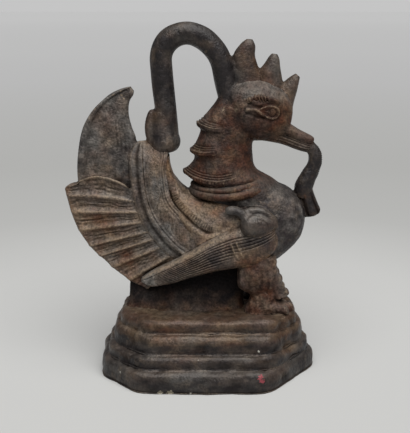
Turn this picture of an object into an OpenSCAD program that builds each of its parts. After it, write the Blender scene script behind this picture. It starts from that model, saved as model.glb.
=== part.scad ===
// Bronze weight: a crested bird on a stepped plinth, with a bar handle from tail to nape
// Millimetres. +X is the way the bird faces, +Z is up, the plinth underside is at z = 0.
// The bird is drawn in its own frame, whose z = 0 is the lowest point of the belly.

/* [Plinth] */
// Length of the foot slab along the bird
plinth_length = 91; // [84:1:104]
// Width of the foot slab across the bird
plinth_width = 62; // [56:1:74]
// Corner cut of the foot slab, measured along each side
corner_cut = 17; // [13:0.5:21]
// How much longer the corner cuts at the breast end are, across the bird
breast_cut = 7; // [0:0.5:9]
// Height of the foot slab
foot_slab_h = 8.5; // [6:0.5:12]
// Height of the second slab
second_slab_h = 5.5; // [4:0.5:8]
// Height of the third slab
third_slab_h = 8; // [6:0.5:11]
// Height of the top slab
top_slab_h = 5.5; // [4:0.5:8]
// How far each slab stands in from the one below it, along the sides
slab_step = 3.1; // [2:0.1:4]
// How far each slab stands in from the one below it, at the ends
end_step = 2.8; // [1.8:0.1:3.6]
// Roundness of the upper edge of every slab
slab_round = 2.4; // [1.2:0.2:3.4]
// Roundness of the lower edge of every slab
slab_under = 1.6; // [0.6:0.2:2.2]

/* [Legs] */
// Height of the belly above the plinth
leg_h = 19; // [16:0.5:24]
// Distance of each leg from the middle
leg_spread = 9.5; // [8:0.5:11]
// Thickness of a leg across the bird
leg_t = 10; // [8:0.5:12]
// Diameter of a toe
toe_d = 4.8; // [4:0.2:6]
// Reach of the middle toe in front of the heel
toe_reach = 14.5; // [12:0.5:17]
// Width of the support under tail and belly, across the bird
post_w = 11; // [8:0.5:14]

/* [Body and wings] */
// Width of the trunk
body_width = 27.5; // [25:0.5:31]
// Reach of the breast in front of the middle
breast_reach = 40.3; // [38.5:0.5:42]
// How far a wing stands out from the trunk
wing_relief = 3.2; // [2:0.2:4.6]
// Thickness of a wing leaf
wing_t = 8; // [6.5:0.5:10]
// Ribs on a wing leaf
wing_ribs = 8; // [5:1:10]
// Depth of the furrows between the ribs of wings and fan
furrow = 1; // [0.4:0.1:1.6]
// Diameter of the rolled shoulder scroll
scroll_d = 4.4; // [3.4:0.2:5.4]

/* [Tail] */
// Thickness of the tail at the covert band
tail_t = 14; // [12:0.5:17]
// Width of the broad covert band
coverts_w = 10.2; // [8.5:0.2:12]
// Width of the cord outside the covert band
cord_w = 4.6; // [3.4:0.2:6]
// Reach of the longest fan ray outside the cord
fan_reach = 28; // [24:0.5:32]
// Rays in the fan
fan_rays = 8; // [6:1:11]
// Thickness of the fan at its rim
fan_edge = 5; // [3.6:0.2:6.4]
// Rise of the plume above the fan
plume_rise = 41; // [36:0.5:46]
// Thickness of the plume at its raised margin
plume_t = 8.4; // [6.8:0.2:10]

/* [Neck and head] */
// Width of the neck where it leaves the trunk
neck_width = 24; // [21.5:0.5:27]
// How far the ruffs stand out behind the neck
ruff_flare = 4.6; // [3:0.2:6]
// Diameter of each roll of the necklace
necklace_d = 3.2; // [2.4:0.2:4]
// Head centre in front of the middle
head_x = 21; // [19.5:0.5:22.5]
// Head centre above the belly
head_z = 64.5; // [62:0.5:67]
// Length of the head
head_length = 27; // [25:0.5:29]
// Height of the head
head_height = 24.4; // [22.5:0.5:26.5]
// Width of the head
head_width = 18.6; // [16:0.5:21]
// Rise of the rear crest prong above the head centre
rear_prong_h = 28.5; // [25:0.5:32]
// Rise of the middle crest prong above the head centre
middle_prong_h = 22.8; // [20:0.5:26]
// Rise of the front crest prong above the head centre
front_prong_h = 14.6; // [13:0.2:17]
// Thickness of the crest prongs
prong_t = 6.6; // [5:0.2:8.4]
// Reach of the bill in front of the head centre
bill_reach = 22.4; // [21:0.2:23.6]
// Width of the bill at the face
bill_width = 11; // [9:0.5:12.5]
// Length of an eye
eye_l = 13; // [10:0.5:15]

/* [Handle] */
// Diameter of the handle bar
bar_d = 9; // [7.5:0.25:10]
// Rise of the handle above its cup, to the middle of the bar
loop_rise = 43.6; // [41:0.2:47]
// Bend radius at the tail side of the loop
rear_bend_r = 10.2; // [9.4:0.2:11]
// Bend radius at the head side of the loop
front_bend_r = 17.6; // [16.8:0.2:18.6]
// Diameter of the cup that holds the handle
cup_d = 14; // [13:0.2:15.6]
// Height of the bud at the back of the cup
bud_h = 12.2; // [9:0.2:14]
// Clearance round the bar where it is set into the cup, head and neck
bar_fit = 0.05; // [0.02:0.01:0.1]

/* [Sprig] */
// Diameter of the sprig that hangs from the bill
sprig_d = 5.4; // [4.4:0.2:6.4]
// Diameter of the blossom at its lower end
blossom_d = 7; // [6:0.2:8]

/* [Hidden] */

bronze_dark = [0.27, 0.22, 0.20];
bronze_brown = [0.42, 0.30, 0.22];
bronze_worn = [0.50, 0.45, 0.44];

plinth_h = foot_slab_h + second_slab_h + third_slab_h + top_slab_h;
// Height of the bird's own zero above the plinth underside
lift = plinth_h + leg_h;

// Curve through a list of points or stations, n steps over the whole list
function blend(a, b, c, d, t) =
    0.5 * (2 * b + (c - a) * t + (2 * a - 5 * b + 4 * c - d) * t * t + (3 * b - a - 3 * c + d) * t * t * t);
function at(list, s) =
    let (k = min(floor(s), len(list) - 2), last = len(list) - 1)
    blend(list[max(k - 1, 0)], list[k], list[k + 1], list[min(k + 2, last)], s - k);
function through(list, n) = [for (i = [0:n]) at(list, i * (len(list) - 1) / n)];

function unit(v) = v / norm(v);
function mix(a, b, t) = a + (b - a) * t;
function reversed(list) = [for (k = [len(list) - 1:-1:0]) list[k]];
function bulge(v, e) = sign(v) * pow(abs(v), e);
// Closed cross section in unit form, squarer as e gets smaller
function oval(n, e = 0.9) = [for (k = [0:n - 1]) [bulge(cos(360 * k / n), e), bulge(sin(360 * k / n), e)]];

// A station is [x, z, x, z, half width]: two edge points in side view, and how thick the piece is there
function shift(s, p) = [s[0] + p[0], s[1] + p[1], s[2] + p[0], s[3] + p[1], s[4]];
function sized(list, p, kx, kz, kw) =
    [for (s = list) shift([s[0] * kx, s[1] * kz, s[2] * kx, s[3] * kz, s[4] * kw], p)];
function ring(s, section) = [for (q = section)
    [mix(s[0], s[2], (1 + q[0]) / 2), s[4] * q[1], mix(s[1], s[3], (1 + q[0]) / 2)]];
function rings(stations, section) = [for (s = stations) ring(s, section)];
// Stations of a round bar along a side-view path of [x, z, radius]
function tube(path, n) =
    let (p = through(path, n))
    [for (i = [0:n])
        let (a = p[max(i - 1, 0)], b = p[min(i + 1, n)], d = unit([b[0] - a[0], b[1] - a[1]]), r = p[i][2])
        [p[i][0] - d[1] * r, p[i][1] + d[0] * r, p[i][0] + d[1] * r, p[i][1] - d[0] * r, r]];

// Skin over closed rings, with a point in the middle of each end
module loft(r) {
    n = len(r[0]);
    m = len(r);
    ends = [r[0], r[m - 1]];
    middles = [for (e = ends) [for (j = [0:2]) [for (p = e) p[j]] * [for (p = e) 1 / n]]];
    polyhedron(
        points = concat([for (x = r) each x], middles),
        faces = concat(
            [for (k = [0:n - 1]) [m * n, (k + 1) % n, k]],
            [for (k = [0:n - 1]) [m * n + 1, (m - 1) * n + k, (m - 1) * n + (k + 1) % n]],
            [for (i = [0:m - 2], k = [0:n - 1])
                let (a = i * n + k, b = i * n + (k + 1) % n)
                each [[a, b + n, a + n], [a, b, b + n]]]));
}
// The same for rings that bulge everywhere, built in spans of three rings that share one with the next span
module chain(r) {
    for (i = [0:len(r) - 3]) hull() loft([r[i], r[i + 1], r[i + 2]]);
}
module bird() { translate([0, 0, lift]) children(); }
module left() { mirror([0, 1, 0]) children(); }

// Plinth

// Eight-sided outline with eased corners, whose cuts at the breast end are longer by k
function octagon(l, w, c, k, z) =
    let (x = l / 2, y = w / 2, e = 0.3, f = c + k, g = c + 0.4 * k,
        p = [[x, f - y], [x, y - f], [x - g, y], [c - x, y],
            [-x, y - c], [-x, c - y], [c - x, -y], [x - g, -y]])
    [for (i = [0:7])
        let (a = p[(i + 7) % 8], b = p[i], d = p[(i + 1) % 8],
            u = unit(a - b) * c * e, v = unit(d - b) * c * e)
        each [[b[0] + u[0], b[1] + u[1], z], [b[0] + (u[0] + v[0]) / 4, b[1] + (u[1] + v[1]) / 4, z],
            [b[0] + v[0], b[1] + v[1], z]]];
// One slab with a flat underside and a rounded upper edge
module slab(level, h, z) {
    l = plinth_length - 2 * end_step * level;
    w = plinth_width - 2 * slab_step * level;
    c = corner_cut - 0.6 * slab_step * level;
    // The longer cuts fade out towards the top slab, and leave an end edge longer than its easing
    k = max(0, min(breast_cut * (1 - level / 3), w / 2 - 1.4 * c));
    r = min(slab_round, h - slab_under - 0.5);
    function step_in(d, up) = octagon(l - 2 * d, w - 2 * d, c - 0.6 * d, k, z + up);
    lower = [step_in(slab_under, 0), step_in(0, slab_under), step_in(0, h - r)];
    round_over = [for (a = [45, 90]) step_in(r * (1 - cos(a)), h - r + r * sin(a))];
    loft([for (q = concat(lower, round_over)) reversed(q)]);
}
module foot_slab() { color(bronze_dark) slab(0, foot_slab_h, 0); }
module second_slab() { color(bronze_dark) slab(1, second_slab_h, foot_slab_h); }
module third_slab() { color(bronze_dark) slab(2, third_slab_h, foot_slab_h + second_slab_h); }
module top_slab() { color(bronze_dark) slab(3, top_slab_h, plinth_h - top_slab_h); }

// Trunk: the first edge is the back, the second the belly, from breast to the ridge inside the tail

front_k = breast_reach / 40.3;
trunk = [
    [40.3 * front_k, 20.6, 40.3 * front_k, 18.4, 0.12], [38.6 * front_k, 26.6, 38.4 * front_k, 11.6, 0.6],
    [34.4 * front_k, 31.4, 33, 5.2, 0.86], [26, 35, 26, 1.2, 1], [14, 35.3, 14, 0, 1], [3, 33, 2, 1.6, 0.93],
    [-6.5, 30.9, -6, 7.5, 0.8], [-10.8, 33.8, -12, 18.4, 0.64], [-13.7, 37.8, -15.6, 27, 0.54],
    [-15.2, 42, -17.6, 36, 0.47], [-15.8, 46.4, -18.7, 46, 0.4]];
module body_form() {
    chain(rings(through(sized(trunk, [0, 0], 1, 1, body_width / 2), 14), oval(16, 0.86)));
}
module body() {
    color(bronze_brown) bird() difference() {
        body_form();
        cup_form();
    }
}

// Tail: every band is laid beside one sweep, the crease along the trunk's ridge

sweep = [[-18.5, 50], [-18.1, 40], [-17, 31.3], [-15.2, 25.5],
    [-12.1, 20.5], [-7.9, 15.8], [-2, 12], [5, 9.5]];
function sweep_out(s) =
    let (d = unit(at(sweep, min(s + 0.2, 7)) - at(sweep, max(s - 0.2, 0))))
    [d[1], -d[0]];
function beside(s, d) = at(sweep, s) + sweep_out(s) * d;
function band(from, to, s0, s1, n, w0, w1) = [for (i = [0:n])
    let (s = mix(s0, s1, i / n), a = beside(s, from), b = beside(s, to))
    [a[0], a[1], b[0], b[1], mix(w0, w1, i / n)]];

// Covert band: a flat-sided strip with a rolled ridge along each edge
coverts_section = [[-1, 0.8], [-0.78, 1], [-0.5, 0.86], [0, 0.94], [0.5, 0.86], [0.78, 1], [1, 0.8]];
function both_sides(half) = concat(half, [for (k = [len(half) - 1:-1:0]) [half[k][0], -half[k][1]]]);
module coverts_form() {
    loft(rings(band(-2, coverts_w, 0, 6.6, 10, 0.42 * tail_t, 0.68 * tail_t), both_sides(coverts_section)));
}
module tail_coverts() {
    color(bronze_brown) bird() difference() {
        coverts_form();
        body_form();
        cup_form();
    }
}

cord_section = [[-1, 0.94], [0, 1], [0.65, 0.88], [1, 0.5]];
module cord_form() {
    loft(rings(band(coverts_w - 1.5, coverts_w + cord_w, 0, 6.2, 10, 0.37 * tail_t, 0.56 * tail_t),
        both_sides(cord_section)));
}
module tail_cord() {
    color(bronze_dark) bird() difference() {
        cord_form();
        coverts_form();
        body_form();
        cup_form();
    }
}

// Fan: hollow rays between ridges leave the cord and lean up, thick at the root and thin at the rim
fan_lean = 18;
fan_from = 1.88;
fan_to = 5.6;
// How far the top ray arches up under the plume
fan_arch = 5;
fan_root_t = 0.34 * tail_t;
function turned(v, a) = [v[0] * cos(a) + v[1] * sin(a), v[1] * cos(a) - v[0] * sin(a)];
function fan_ring(t) =
    let (s = mix(fan_from, fan_to, t), out = turned(sweep_out(s), fan_lean),
        root = beside(s, coverts_w + cord_w - 1.5),
        rib = 1 - pow(abs(sin(180 * fan_rays * t)), 0.7),
        reach = fan_reach * (1 - 0.36 * t * t) + 1.5 + 0.4 * rib,
        arch = fan_arch * pow(max(0, 1 - 5 * t), 2),
        side = [for (q = [0, 0.3, 0.65, 0.92])
            [q, mix(fan_root_t, fan_edge / 2, q) - furrow * (1 - rib) * min(1, 3.4 * q),
                arch * sin(170 * q)]],
        line = concat(side, [[1, 0.3 * fan_edge, 0]]))
    concat([for (q = line) let (p = root + out * reach * q[0]) [p[0], q[1], p[1] + q[2]]],
        [for (k = [len(line) - 1:-1:0])
            let (q = line[k], p = root + out * reach * q[0]) [p[0], -q[1], p[1] + q[2]]]);
module fan_form() { loft([for (i = [0:2 * fan_rays]) fan_ring(i / (2 * fan_rays))]); }
module tail_fan() {
    color(bronze_worn) bird() difference() {
        fan_form();
        cord_form();
        coverts_form();
        body_form();
    }
}

// Plume: the first edge is the swept back, which carries a raised margin, the second the inner edge
plume = [[-23, 0.07, 1.6, -0.05, 0.95], [-22.8, 0.3, 1.6, 0.22, 1], [-21.4, 0.49, 1.6, 0.45, 0.96],
    [-19, 0.65, -0.4, 0.6, 0.9], [-15.2, 0.79, -1.6, 0.71, 0.82], [-10, 0.9, -1.6, 0.8, 0.72],
    [-4.8, 0.96, -0.8, 0.88, 0.58], [-0.2, 0.99, 0.5, 0.95, 0.34]];
plume_section = [[-1, 0.66], [-0.9, 0.97], [-0.76, 1], [-0.62, 0.66], [0.3, 0.74], [0.85, 0.6], [1, 0.36]];
plume_at = beside(fan_from, coverts_w + cord_w) + [0.6, 3.5];
module plume_form() {
    loft(rings(through(sized(plume, plume_at, 1, plume_rise, plume_t / 2), 14), both_sides(plume_section)));
}
module tail_plume() {
    color(bronze_worn) bird() difference() {
        plume_form();
        fan_form();
        cord_form();
        coverts_form();
        body_form();
        cup_form();
    }
}

// Handle and the cup that holds it

bar_r = bar_d / 2;
bar_foot = [-16.4, 51.5];
bar_lean = 5;
bend_join = 70;
front_lean = 12;
rear_leg = (loop_rise - rear_bend_r * (1 + sin(bar_lean))) / cos(bar_lean);
rear_top = bar_foot + rear_leg * [-sin(bar_lean), cos(bar_lean)];
rear_bend = rear_top + rear_bend_r * [cos(bar_lean), sin(bar_lean)];
front_bend = rear_bend + (rear_bend_r - front_bend_r) * [cos(bend_join), sin(bend_join)];
front_top = front_bend + front_bend_r * [cos(front_lean), sin(front_lean)];
front_leg = (front_top[1] - (head_z + 9.6)) / cos(front_lean);
front_end = front_top + front_leg * [sin(front_lean), -cos(front_lean)];
bar_ease = 3.2;
function arc(p, r, from, to, n) =
    [for (i = [1:n]) p + r * [cos(mix(from, to, i / n)), sin(mix(from, to, i / n))]];
// Middle line of the bar: rear leg, two bends that run into each other, front leg
bar_line = concat([bar_foot, mix(bar_foot, rear_top, 0.5), rear_top],
    arc(rear_bend, rear_bend_r, 180 + bar_lean, bend_join, 10),
    arc(front_bend, front_bend_r, bend_join, front_lean, 6), [mix(front_top, front_end, 0.5), front_end]);
// The bar, grown all round by a clearance, with its end eased where it comes down on the nape
module bar(grow) {
    r = bar_r + grow;
    tip = front_end + (bar_ease + grow) * [sin(front_lean), -cos(front_lean)];
    path = concat([for (p = bar_line) [p[0], p[1], r]], [[tip[0], tip[1], r - 0.55 * bar_ease]]);
    loft(rings(tube(path, len(path) - 1), reversed(oval(16, 1))));
}
module handle() { color(bronze_dark) bird() bar(0); }

cup_at = [-17.6, 47.5];
cup_profile = [[0, 0], [0.44, 0.2], [0.76, 1.4], [0.95, 3.8], [1, 6.4], [0.96, 9], [0.84, 12], [0.72, 14.5],
    [0, 14.5]];
bud_r = 2.5;
bud_profile = [[0, 0], [1, 0], [1, 0.78], [0.87, 0.89], [0.5, 0.97], [0, 1]];
module cup_form() {
    translate([cup_at[0], 0, cup_at[1]]) rotate([0, -bar_lean, 0])
        rotate_extrude($fn = 32) polygon([for (q = cup_profile) [q[0] * cup_d / 2, q[1]]]);
    translate([cup_at[0] - cup_d / 2 + 1.4, 0, cup_at[1] + 5])
        rotate_extrude($fn = 20) polygon([for (q = bud_profile) [q[0] * bud_r, q[1] * bud_h]]);
}
module handle_cup() {
    color(bronze_brown) bird() difference() {
        cup_form();
        translate([bar_foot[0], 0, bar_foot[1]]) rotate([0, -bar_lean, 0])
            cylinder(h = rear_leg, r = bar_r + bar_fit, $fn = 48);
    }
}

// Neck with its ruffs and necklace: the first edge is the back, the second the throat

neck_line = [[-3, 26, 36, 28, 1.04], [-5.2, 33, 27.4, 35.6, 0.98], [-5.8, 39, 19.9, 40.2, 0.88],
    [-5, 46.5, 17.3, 46, 0.76], [-3.4, 53.5, 17.3, 52.5, 0.68], [head_x - 21.5, 60.5, head_x - 2, 57.5, 0.62],
    [head_x - 16.5, head_z + 3, head_x + 1, head_z - 1, 0.6]];
module neck_form() {
    chain(rings(through(sized(neck_line, [0, 0], 1, 1, neck_width / 2), 9), oval(16, 0.95)));
}
module neck() {
    color(bronze_brown) bird() difference() {
        neck_form();
        body_form();
        bar(bar_fit);
    }
}

// Ring round the neck that hangs lower at the sides than front and back
function collar(back, front, w, droop, n = 18) = [for (k = [0:n - 1])
    let (a = -360 * k / n)
    [mix(back[0], front[0], (1 - cos(a)) / 2), w * sin(a),
        mix(back[1], front[1], (1 - cos(a)) / 2) - droop * sin(a) * sin(a)]];
// Skirt from a top ring, out to a lip, and back in under it
module skirt(top, lip, under, w, droop) {
    loft([collar(top[0], top[1], w[0], 0),
        collar(mix(top[0], lip[0], 0.55) + [0.5, 0], mix(top[1], lip[1], 0.55), mix(w[0], w[1], 0.62),
            0.45 * droop),
        collar(lip[0] + [0.2, 0.7], lip[1] + [0, 0.7], w[1] - 0.2, droop),
        collar(lip[0], lip[1] - [0, 0.5], w[1], droop),
        collar(mix(lip[0], under[0], 0.3) - [0, 0.5], lip[1] - [0, 1], w[1] - 0.9, droop),
        collar(under[0], under[1], w[2], droop * 0.6)]);
}
module lower_ruff_form() {
    skirt([[-4.2, 47], [15, 47]], [[-5.9 - ruff_flare, 39.6], [18.6, 41]], [[-4, 34.5], [17, 37.5]],
        [0.385, 0.51, 0.4] * neck_width, 4.4);
}
module middle_ruff_form() {
    skirt([[-2.7, 57.4], [12.4, 55]], [[-4.7 - 0.64 * ruff_flare, 48.1], [15.6, 50.5]],
        [[-3.5, 45], [14, 46.5]], [0.33, 0.425, 0.33] * neck_width, 2);
}
module upper_ruff_form() {
    skirt([[head_x - 15.4, head_z + 5], [head_x - 3, head_z]],
        [[-2.2 - 0.55 * ruff_flare, 59.2], [16, 57]], [[-2, 56.2], [14, 54.5]],
        [0.27, 0.37, 0.29] * neck_width, 1.8);
}
module lower_ruff() {
    color(bronze_brown) bird() difference() {
        lower_ruff_form();
        neck_form();
        body_form();
    }
}
module middle_ruff() {
    color(bronze_brown) bird() difference() {
        middle_ruff_form();
        neck_form();
        lower_ruff_form();
    }
}
module upper_ruff() {
    color(bronze_brown) bird() difference() {
        upper_ruff_form();
        neck_form();
        middle_ruff_form();
        head_form();
        bar(bar_fit);
    }
}

// Roll bent round the neck along a collar line
module roll(back, front, w, droop, r) {
    n = 18;
    line = collar(back, front, w, droop, n);
    mid = [(back[0] + front[0]) / 2, 0];
    m = 5;
    points = [for (p = line)
        let (o = unit([(p[0] - mid[0]) / abs(front[0] - back[0]), p[1] / (2 * w)]))
        each [for (j = [0:m - 1]) let (a = 360 * j / m)
            [p[0] + r * cos(a) * o[0], p[1] + r * cos(a) * o[1], p[2] + r * sin(a)]]];
    polyhedron(points, [for (i = [0:n - 1], j = [0:m - 1])
        let (a = i * m, b = ((i + 1) % n) * m, k = (j + 1) % m)
        each [[a + j, a + k, b + k], [a + j, b + k, b + j]]]);
}
module necklace_form() {
    roll([-6.2, 32.6], [22, 35.6], 0.5 * neck_width + 1.1, 3.4, necklace_d / 2);
    roll([-6.4, 30.4], [24.6, 32.6], 0.5 * neck_width + 2, 3.4, necklace_d / 2);
}
module necklace() {
    color(bronze_dark) bird() difference() {
        necklace_form();
        neck_form();
        body_form();
        lower_ruff_form();
    }
}

// Head and all that is set on it, drawn from the head centre

head_at = [head_x, head_z];
// Unit outline: the first edge is the crown, the second the jaw, from nape to face
skull = [[-1.04, 0.6, -0.82, -0.3, 0.58], [-0.78, 0.88, -0.62, -0.76, 0.86], [-0.34, 1.01, -0.28, -0.96, 1],
    [0.08, 0.98, 0.1, -1, 1], [0.46, 0.83, 0.44, -0.99, 0.9], [0.76, 0.6, 0.7, -0.88, 0.72],
    [0.93, 0.26, 0.86, -0.6, 0.46], [0.96, 0, 0.92, -0.28, 0.2]];
module head_form() {
    chain(rings(through(sized(skull, head_at, head_length / 2, head_height / 2, head_width / 2), 10),
        oval(16, 0.9)));
}
module head() {
    color(bronze_brown) bird() difference() {
        head_form();
        neck_form();
        bar(bar_fit);
    }
}

// Crest prongs: the first edge faces back, the second forward, heights as shares of the prong's own rise
rear_flame = [[-11.5, 0.28, 1.2, 0.34, 1], [-12, 0.53, -0.4, 0.53, 0.94], [-11.4, 0.77, -2.5, 0.75, 0.84],
    [-8.6, 0.92, -2.5, 0.9, 0.7], [-6, 0.995, -3.6, 0.99, 0.4]];
middle_flame = [[-1.6, 0.36, 10, 0.28, 1], [-0.7, 0.68, 8.6, 0.52, 0.94], [1.5, 0.83, 7.6, 0.75, 0.84],
    [3, 0.94, 7.2, 0.9, 0.66], [4.2, 0.998, 6.4, 0.985, 0.4]];
front_flame = [[6, 0.48, 12, -0.28, 1], [8.8, 0.73, 13.4, 0.25, 0.94], [10.6, 0.85, 14.4, 0.53, 0.8],
    [12.6, 0.95, 15.1, 0.79, 0.62], [14, 1, 15.4, 0.91, 0.4]];
module prong(flame, h) {
    chain(rings(through(sized(flame, head_at, 1, h, prong_t / 2), 7), oval(8, 0.9)));
}
module rear_prong() {
    color(bronze_dark) bird() difference() {
        prong(rear_flame, rear_prong_h);
        head_form();
        bar(bar_fit);
    }
}
module middle_prong() {
    color(bronze_dark) bird() difference() {
        prong(middle_flame, middle_prong_h);
        prong(rear_flame, rear_prong_h);
        head_form();
    }
}
module front_prong() {
    color(bronze_dark) bird() difference() {
        prong(front_flame, front_prong_h);
        prong(middle_flame, middle_prong_h);
        head_form();
    }
}

// Bill: upper and lower edge of each half, from root to tip, along the bill's own reach
upper_half = [[0.27, -3.4, 0.2, -7.4, 1], [0.53, -5.6, 0.42, -8.9, 0.9], [0.73, -8.1, 0.69, -11.4, 0.76],
    [0.92, -10.3, 0.89, -13, 0.6], [0.99, -11.3, 0.98, -12.8, 0.38]];
lower_half = [[0.2, -7, 0.04, -12.1, 0.95], [0.44, -8.8, 0.36, -13.5, 0.82], [0.69, -11.2, 0.65, -15.8, 0.7],
    [0.88, -12.9, 0.86, -17.1, 0.56], [0.95, -13.6, 0.94, -16.2, 0.34]];
module bill_half(h) {
    chain(rings(through(sized(h, head_at, bill_reach, 1, bill_width / 2), 7), oval(10, 0.85)));
}
module upper_bill() {
    color(bronze_brown) bird() difference() {
        bill_half(upper_half);
        head_form();
    }
}
module lower_bill() {
    color(bronze_brown) bird() difference() {
        bill_half(lower_half);
        bill_half(upper_half);
        head_form();
        neck_form();
    }
}

// Eye: an almond with a drawn-out tail, and the brow that arches over it
almond = [[0.52, 0.6, 0.52, -0.2, 0.3], [0.4, 2, 0.42, -1.6, 0.8], [0.24, 2.7, 0.26, -2.5, 1],
    [0.04, 2.3, 0.06, -2, 0.9], [-0.2, 1.1, -0.18, -0.6, 0.62], [-0.48, 0.7, -0.48, 0, 0.3]];
arch = [[-7, 5.2, -6.2, 3.6, 0.5], [-3.2, 7, -2.8, 4.6, 0.9], [1.5, 6.8, 1.4, 4.4, 1],
    [5.4, 5, 4.6, 3.2, 0.7], [7.6, 3.2, 6.8, 2, 0.36]];
// How far out the middle of an eye lies, on the flank of the head
eye_y = 0.46 * head_width;
module eye_form() {
    translate([0, -eye_y + 0.5, 0])
        chain(rings(through(sized(almond, head_at + [0.6, 0.4], eye_l, 1, 2.2), 9), oval(10, 0.8)));
}
module brow_form() {
    translate([0, -eye_y + 0.9, 0])
        chain(rings(through(sized(arch, head_at, 1, 1, 2.4), 9), oval(8, 0.8)));
}
module eye() {
    difference() {
        eye_form();
        head_form();
    }
}
module brow() {
    difference() {
        brow_form();
        eye_form();
        head_form();
    }
}
module right_eye() { color(bronze_dark) bird() eye(); }
module left_eye() { color(bronze_dark) bird() left() eye(); }
module right_brow() { color(bronze_dark) bird() brow(); }
module left_brow() { color(bronze_dark) bird() left() brow(); }

// Sprig from the bill to the breast, and its blossom

bill_tip = head_at + [bill_reach, 0] + [-1.6, -14.6];
breast = [breast_reach, 20];
sprig_r = sprig_d / 2;
// A point of a side-view path, set off from a corner, with the radius there
function step(p, x, z, r) = [p[0] + x, p[1] + z, r];
sprig_path = [step(bill_tip, -0.6, 0.4, sprig_r * 0.8), step(bill_tip, 1.7, -2.6, sprig_r * 0.95),
    step(bill_tip, 2.2, -6, sprig_r), step(bill_tip, 1.2, -9.6, sprig_r * 1.06),
    step(breast, 0.8, 16.4, sprig_r * 1.1), step(breast, -0.9, 12.6, sprig_r * 1.1),
    step(breast, -1.8, 8.4, sprig_r)];
blossom_r = blossom_d / 2;
blossom_path = [step(breast, -0.6, 11.6, blossom_r * 0.84), step(breast, 0.8, 8, blossom_r * 0.86),
    step(breast, 2.4, 4, blossom_r), step(breast, 3.4, 1.6, blossom_r),
    step(breast, 3.8, 0.6, blossom_r * 0.7)];
module sprig_form() { chain(rings(tube(sprig_path, 9), oval(8, 1))); }
module sprig() {
    color(bronze_brown) bird() difference() {
        sprig_form();
        bill_half(upper_half);
        bill_half(lower_half);
        body_form();
    }
}
module blossom() {
    color(bronze_brown) bird() difference() {
        chain(rings(tube(blossom_path, 9), oval(8, 1)));
        sprig_form();
        body_form();
    }
}

// Wings: the first edge is the upper one, the second the lower, from shoulder to tip

leaf = [[27.5, 20.2, 29, 14.6, 0.72], [24.2, 21, 27.2, 8.6, 0.95], [17, 20, 19.8, 2.8, 1],
    [8, 17.6, 9.8, 1.2, 0.99], [0.8, 13.8, 1.2, -0.6, 0.96], [-7, 8.4, -7.4, -3.1, 0.88],
    [-15.4, 3.4, -14.8, -5.2, 0.79], [-22.4, -0.6, -21.4, -6.2, 0.71], [-27, -3.8, -26.2, -5.4, 0.63]];
wing_out = body_width / 2 + wing_relief;
// Across a wing: a rounded leaf whose outer face carries ribs, and a flat inner face
function wing_ring(s, fade) =
    let (n = 2 * wing_ribs, y1 = wing_out * s[4], y0 = y1 - wing_t)
    concat([for (q = [0.92, 0.08]) [mix(s[0], s[2], q), -y0, mix(s[1], s[3], q)]],
        [for (k = [n:-1:0])
            let (q = k / n, dome = pow(max(0, 1 - pow(abs(2 * q - 1), 4)), 0.5),
                rib = pow(abs(sin(180 * wing_ribs * q)), 0.7),
                y = mix(y1 - 0.55 * wing_t, y1, dome) - furrow * fade * (1 - rib) * (0.2 + 0.8 * dome))
            [mix(s[2], s[0], q), -y, mix(s[3], s[1], q)]]);
module wing_form() {
    n = 8;
    s = through(leaf, n);
    loft([for (i = [0:n]) wing_ring(s[i], min(1, 0.3 + i / 4))]);
}
module wing() {
    difference() {
        wing_form();
        body_form();
        coverts_form();
        cord_form();
        fan_form();
    }
}
module right_wing() { color(bronze_worn) bird() wing(); }
module left_wing() { color(bronze_worn) bird() left() wing(); }

// Shoulder scroll: a roll that curls over a boss, with a tongue behind it
scroll_line = [[13, 23.4], [16.4, 26], [21.4, 25.8], [26, 22.8], [27.8, 18.6]];
tongue_line = [[7.4, 26], [10.4, 26], [14, 24.2]];
boss = [17.4, 20.4];
scroll_r = scroll_d / 2;
module bead(p, y, r) { translate([p[0], -y, p[1]]) sphere(r = r, $fn = 8); }
module scroll_form() {
    line = through(scroll_line, 4);
    tongue = through(tongue_line, 2);
    for (i = [0:3]) hull() {
        bead(line[i], wing_out - 2.4 - 0.08 * pow(i - 2, 2), scroll_r);
        bead(line[i + 1], wing_out - 2.4 - 0.08 * pow(i - 1, 2), scroll_r);
    }
    for (i = [0:1]) hull() {
        bead(tongue[i], wing_out - 1.8, 0.95 * scroll_r);
        bead(tongue[i + 1], wing_out - 1.8, 0.95 * scroll_r);
    }
    hull() {
        bead(boss, wing_out - 2.6, 2 * scroll_r);
        bead(boss + [4.4, 0.4], wing_out - 3, 1.9 * scroll_r);
    }
}
module scroll() {
    difference() {
        scroll_form();
        wing_form();
        body_form();
        necklace_form();
    }
}
module right_scroll() { color(bronze_worn) bird() scroll(); }
module left_scroll() { color(bronze_worn) bird() left() scroll(); }

// Legs, feet and the support under the tail stand on the plinth

// First edge at the back, second in front, heights as shares of the leg height below the belly
shank = [[13, 0.3, 27.5, 0.3, 1], [11.8, -0.1, 28.6, -0.04, 1.02], [12.4, -0.4, 30.4, -0.28, 0.94],
    [16.8, -0.56, 31.8, -0.45, 0.84], [18.4, -0.76, 33, -0.62, 0.82]];
module leg_form() {
    translate([0, -leg_spread, 0])
        chain(rings(through(sized(shank, [0, 0], 1, leg_h, leg_t / 2), 9), oval(10, 0.8)));
}
module leg() {
    difference() {
        leg_form();
        body_form();
        wing_form();
    }
}
module right_leg() { color(bronze_brown) bird() leg(); }
module left_leg() { color(bronze_brown) bird() left() leg(); }

toe_r = toe_d / 2;
toe_spread = 20;
heel = [21, 3];
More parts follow.
